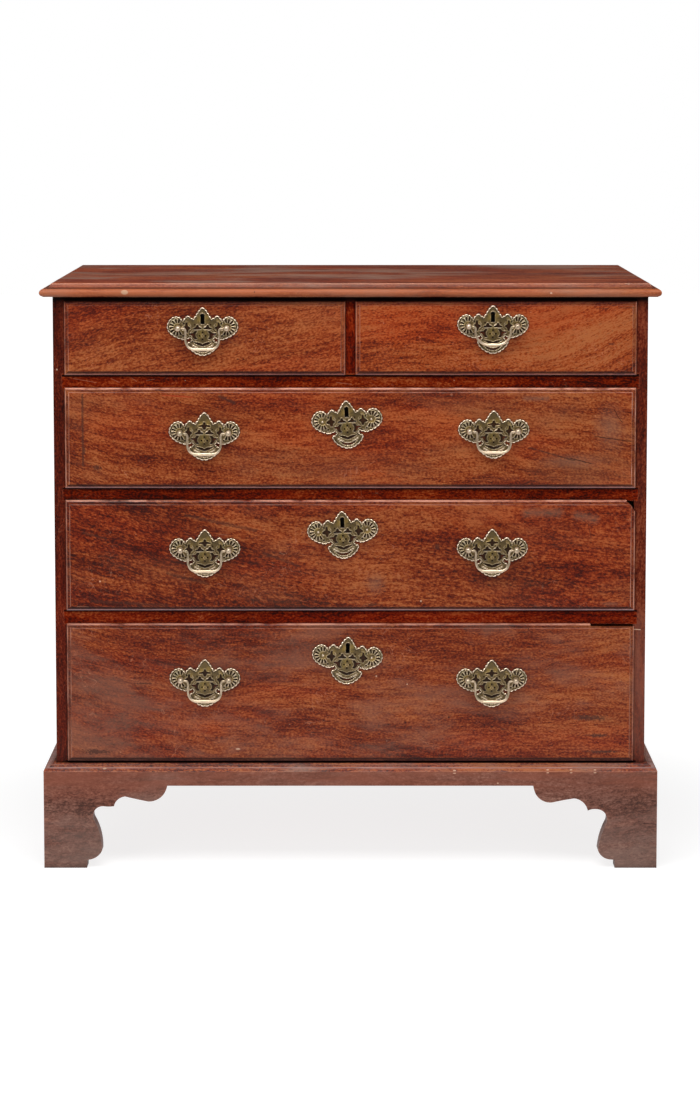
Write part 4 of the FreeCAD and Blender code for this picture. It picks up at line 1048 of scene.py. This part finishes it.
def fannedOut(points, kind):   # ridges that fan out from a centre: 0 between, 1 on a ridge
    centre, (inner, outer) = plateRelief[kind + "Centre"], plateRelief[kind + "Reach"]
    step, first = plateRelief[kind + "Step"], plateRelief[kind + "First"]
    away = fromPlace(points, centre)
    angle = np.degrees(np.arctan2(points[:, 1] - centre[1], points[:, 0] - centre[0]))
    soft = plateRelief["fluteEnd"]
    window = np.clip((away - inner) / soft, 0, 1) * np.clip((outer - away) / soft, 0, 1)
    return window * (0.5 - 0.5 * np.cos(np.radians((angle - first) * 360 / step)))


def rimOfHoles(points, holes):   # the raised rim round each piercing, painted as a highlight, and the dirt and painted shade at its very edge
    setup = plateRelief
    holeRim, soilAndShade = np.zeros(len(points)), np.zeros(len(points))
    for hole in holes:
        span = np.ptp(hole, axis=0).max() / 2
        if span > setup["boreRadius"] or len(hole) < setup["borePoints"]:
            near = distanceTo(points, hole) / setup["holeRimWidth"]
            holeRim = np.maximum(holeRim, hump(near * 2 - setup["holeRimCrest"]) * (near < 1))
            soilAndShade = np.maximum(soilAndShade, np.clip(1 - near * 2, 0, 1))
    return holeRim, soilAndShade


def ribsAndBosses(folded):   # how high they stand, and how bright they are painted as highlights
    ribs = np.zeros(len(folded))
    for width, line in plateRibs:
        ribs = np.maximum(ribs, hump(distanceTo(folded, np.array(line, float), closed=False) / width))
    raised = plateRelief["ribHeight"] * ribs
    for x, z, radius, rise in plateRelief["bosses"]:
        swell = hump(fromPlace(folded, (x, z)) / radius)
        raised = np.maximum(raised, rise * swell)
        ribs = np.maximum(ribs, plateRelief["bossShine"] * swell)
    return raised, ribs


def reliefAt(points, outline, holes, joints):   # height, painted shine and lacquer at each point
    setup, shines = plateRelief, plateRelief["shine"]
    folded = np.stack([np.abs(points[:, 0]), points[:, 1]], axis=1)   # both halves are alike
    edge = distanceTo(points, outline)
    rim = hump(edge / setup["rimWidth"] * 2 - 1, setup["rimFullness"])
    gap = np.min(np.linalg.norm(points[:, None, :] - joints[None, :, :], axis=2), axis=1)
    bead = rim * np.clip(gap / setup["beadGap"], setup["beadFloor"], 1)
    groove = np.clip(1 - np.abs(edge - setup["groovePlace"]) / setup["grooveHalf"], 0, 1)
    holeRim, soilAndShade = rimOfHoles(points, holes)
    flutes = fannedOut(folded, "flute") * (folded[:, 0] > setup["fluteCentre"][0] - setup["fluteInner"])
    fan = fannedOut(folded, "fan") * (folded[:, 1] < setup["fanTop"])
    middle, halfWidth, halfHeight = setup["bodyDome"]
    body = np.hypot(folded[:, 0] / halfWidth, (folded[:, 1] - middle) / halfHeight)
    domes = hump(fromPlace(folded, setup["fluteCentre"]) / setup["wingDome"]) + hump(body)
    raised, ribs = ribsAndBosses(folded)
    inside = 1 - rim

    rise = setup["bodyHeight"] - setup["edgeHeight"]
    height = setup["edgeHeight"] + rise * np.clip(edge / setup["edgeSlope"], 0, 1)
    height += setup["rimHeight"] * bead - setup["grooveDepth"] * groove
    height += setup["holeRimHeight"] * holeRim * inside
    height += setup["fluteHeight"] * np.maximum(flutes, fan) * inside
    height += setup["domeHeight"] * domes
    height += raised * inside

    lacquer = np.zeros(len(points))
    for x, z, radius in setup["gilt"]:
        lacquer = np.maximum(lacquer, np.clip(setup["giltReach"] - fromPlace(folded, (x, z)) / radius, 0, 1))
    # painted highlights and shade, stored as the brightness of the brass
    shine = (shines["flat"] + shines["bead"] * bead + shines["groove"] * groove
             + shines["shadedRim"] * (rim - bead)
             + inside * (shines["ribs"] * ribs + shines["holeRim"] * holeRim + shines["flutes"] * flutes
                         + shines["fan"] * fan + shines["soilAndShade"] * soilAndShade))
    return height, np.clip(shine, 0, shines["most"]), lacquer * (1 - bead)


def triangulated(points, edges, outline, holes):
    found = delaunay_2d_cdt([Vector(p) for p in points], edges, [], 0, 1e-6)
    corners, faces = np.array([tuple(v) for v in found[0]]), [face for face in found[2] if len(face) == 3]
    middles = np.array([corners[list(face)].mean(axis=0) for face in faces])
    keep = isInside(middles, outline)
    for hole in holes:
        keep &= ~isInside(middles, hole)
    return corners, [face for face, kept in zip(faces, keep) if kept]


def surfacePoints(outline, loops):   # rows along every edge, a grid between them, and no crowds
    setup = plateRelief
    rows = [insetPoints(loops[0], step, loops) for step in setup["rimSteps"]]
    rows += [insetPoints(loop, step, loops) for loop in loops[1:] for step in setup["holeSteps"]]
    (left, low), (right, high) = outline.min(axis=0), outline.max(axis=0)
    grid = np.array([(x + (row % 2) * setup["spacing"] / 2, z)
                     for row, z in enumerate(np.arange(low, high, setup["spacing"] * setup["rowShare"]))
                     for x in np.arange(left, right, setup["spacing"])])
    clear = np.min([distanceTo(grid, loop) for loop in loops], axis=0)
    rows.append(grid[(clear > setup["clear"]) & isInside(grid, outline)])
    inner = np.concatenate(rows)
    inner = inner[isInside(inner, outline)]
    for hole in loops[1:]:
        inner = inner[~isInside(inner, hole)]
    cells = {}
    for point in inner:
        cells.setdefault(tuple(round(part / setup["crowd"]) for part in point), point)
    return list(cells.values())


def addTackHeads(work, relief):
    x, z = plateRelief["tackPlace"]
    for side in (-1, 1):
        seat = Matrix.Translation((side * x / perMetre, -plateRelief["thickness"] / perMetre, z / perMetre))
        head = bmesh.ops.create_uvsphere(work, u_segments=16, v_segments=10, matrix=seat,
                                         radius=plateRelief["tackHead"] / perMetre)
        # tack heads take a painted highlight
        for vertex in head["verts"]:
            vertex[relief] = plateRelief["tackShine"]


def castPlateMesh(name, outline, holes, tacked):   # points round the plate's own middle, back at Y = 0
    loops = [finelySpaced(loop, plateRelief["spacing"]) for loop in [outline] + holes]
    edges, boundary = [], []
    for loop in loops:
        first = len(boundary)
        boundary += list(loop)
        edges += [(first + n, first + (n + 1) % len(loop)) for n in range(len(loop))]
    points = np.array(boundary + surfacePoints(outline, loops))
    frontPoints, frontFaces = triangulated(points, edges, loops[0], loops[1:])
    backPoints, backFaces = triangulated(np.array(boundary), edges, loops[0], loops[1:])
    height, shine, lacquer = reliefAt(frontPoints, loops[0], loops[1:], scallopJoints(outline))

    work = bmesh.new()
    # the relief layer holds the painted highlights and shade of the brass, not its height
    relief, gilt = [work.verts.layers.float.new(layer) for layer in ("relief", "gilt")]
    front = [work.verts.new((x / perMetre, -rise / perMetre, z / perMetre))
             for (x, z), rise in zip(frontPoints, height)]
    for vertex, value, yellow in zip(front, shine, lacquer):
        vertex[relief], vertex[gilt] = value, yellow
    back = [work.verts.new((x / perMetre, 0.0, z / perMetre)) for x, z in backPoints]
    for vertex in back:
        vertex[relief] = plateRelief["backShine"]
    for faces, verts in ((frontFaces, front), (backFaces, back)):
        for face in faces:
            work.faces.new([verts[corner] for corner in face])
    for first, second in edges:   # the boundary keeps its order through the triangulation
        work.faces.new([front[first], front[second], back[second], back[first]])
    bmesh.ops.delete(work, geom=[v for v in work.verts if not v.link_faces], context="VERTS")
    if tacked:
        addTackHeads(work, relief)
    bmesh.ops.recalc_face_normals(work, faces=work.faces)
    for face in work.faces:
        face.smooth = True
    mesh = bpy.data.meshes.new(name)
    work.to_mesh(mesh)
    work.free()
    mesh.set_sharp_from_angle(angle=math.radians(plateRelief["sharpAngle"]))
    mesh.materials.append(metals["worked"])
    return mesh


castMeshes = {}
plateNames = {1: ["handle_plate"], 3: ["left_handle_plate", "keyhole_plate", "right_handle_plate"]}
for drawer in drawerNames:
    plates = plateParts(drawer)
    for (middle, turn, outline, holes), title in zip(plates, plateNames[len(plates)]):
        kind = title.removeprefix("left_").removeprefix("right_")
        if len(plates) == 1:
            kind = "keyed handle plate"
        if kind not in castMeshes:
            castMeshes[kind] = castPlateMesh(kind, outline, holes, kind == "keyhole_plate")
        plate = bpy.data.objects.new(drawer + "_" + title, castMeshes[kind])
        bpy.context.scene.collection.objects.link(plate)
        plate.location = (middle[0] / perMetre, frontOf(drawer), middle[1] / perMetre)
        plate.rotation_euler = (0.0, -turn, 0.0)
        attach(plate, drawer + "_drawer")
        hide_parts(drawer + "_brass_plates")
print("plates cast:", {kind: len(mesh.polygons) for kind, mesh in castMeshes.items()})

# studio: pale floor, soft light, camera
studio = {
    "floorFront": -1.3,
    "floorBack": 12.0,
    "floorHalfWidth": 7.0,
    "floorColour": (0.25, 0.25, 0.25),
    "floorRoughness": 0.9,
    "floorSpecular": 0.1,
    "glowBelow": 0.82,           # under the chest, where the floor glows less as a painted shadow
    "glowAway": 1.05,            # past the reach
    "glowReach": (0.35, 1.00),
    "glowShape": (0.75, 1.0, 1.0),   # wider than it is deep
    "skyLight": 0.12,
    "skySeen": 1.0,
    "lamps": {   # place, size, watts, aimed at the front of the chest
        "overhead softbox": ((-0.2, -1.6, 2.9), (2.6, 1.2), 80.0),
        "left softbox": ((-2.3, -2.9, 1.9), (1.2, 1.8), 20.0),
        "right softbox": ((2.5, -3.0, 1.6), (1.2, 1.8), 12.0),
    },
    "aim": (0.0, -0.2, 0.5),
}
camera = {
    "lens": 82.117,
    "away": 3.9156,              # in front of the case
    "height": 1.2029,
    "tilt": 85.538,              # degrees from straight down
    "shift": (-0.0004, -0.2220),
    "farthest": 60.0,
}


def buildFloor():
    half, front, back = studio["floorHalfWidth"], studio["floorFront"], studio["floorBack"]
    mesh = bpy.data.meshes.new("floor")
    corners = [(-half, front, 0.0), (half, front, 0.0), (half, back, 0.0), (-half, back, 0.0)]
    mesh.from_pydata(corners, [], [(0, 1, 2, 3)])
    floor = bpy.data.objects.new("floor", mesh)
    bpy.context.scene.collection.objects.link(floor)
    material, tree, shader = newMaterial("pale floor")
    shader.inputs["Base Color"].default_value = (*studio["floorColour"], 1.0)
    shader.inputs["Roughness"].default_value = studio["floorRoughness"]
    shader.inputs["Specular IOR Level"].default_value = studio["floorSpecular"]
    shader.inputs["Emission Color"].default_value = (1.0, 1.0, 1.0, 1.0)
    # the glow is lower under the chest, a painted contact shadow
    place = scaled(tree, objectPlace(tree), studio["glowShape"])
    share = between(tree, vectorCalc(tree, "LENGTH", place)["Value"], *studio["glowReach"])
    glow = calc(tree, "MULTIPLY_ADD", share, studio["glowAway"] - studio["glowBelow"], studio["glowBelow"])
    plug(tree, shader.inputs["Emission Strength"], glow)
    floor.data.materials.append(material)


def buildSky():
    world = bpy.data.worlds.new("studio white")
    world.use_nodes = True
    tree = world.node_tree
    tree.nodes.clear()
    seen = addNode(tree, "ShaderNodeLightPath").outputs["Is Camera Ray"]
    strength = calc(tree, "MULTIPLY_ADD", seen, studio["skySeen"] - studio["skyLight"], studio["skyLight"])
    glow = addNode(tree, "ShaderNodeBackground", {"Color": (1.0, 1.0, 1.0), "Strength": strength})
    tree.links.new(glow.outputs[0], addNode(tree, "ShaderNodeOutputWorld").inputs["Surface"])
    bpy.context.scene.world = world


def buildLamps():
    for name, (place, size, watts) in studio["lamps"].items():
        light = bpy.data.lights.new(name, "AREA")
        light.shape = "RECTANGLE"
        light.size, light.size_y = size
        light.energy = watts
        lamp = bpy.data.objects.new(name, light)
        bpy.context.scene.collection.objects.link(lamp)
        lamp.location = place
        lamp.rotation_euler = (Vector(studio["aim"]) - Vector(place)).to_track_quat("-Z", "Y").to_euler()


def buildCamera():
    lens = bpy.data.cameras.new("camera")
    lens.lens = camera["lens"]
    lens.shift_x, lens.shift_y = camera["shift"]
    lens.clip_end = camera["farthest"]
    viewer = bpy.data.objects.new("camera", lens)
    viewer.location = (0.0, caseY - camera["away"], camera["height"])
    viewer.rotation_euler = (math.radians(camera["tilt"]), 0.0, 0.0)
    bpy.context.scene.collection.objects.link(viewer)
    bpy.context.scene.camera = viewer


buildFloor()
buildSky()
buildLamps()
buildCamera()
bpy.context.scene.view_settings.view_transform = "Standard"
print("studio built")
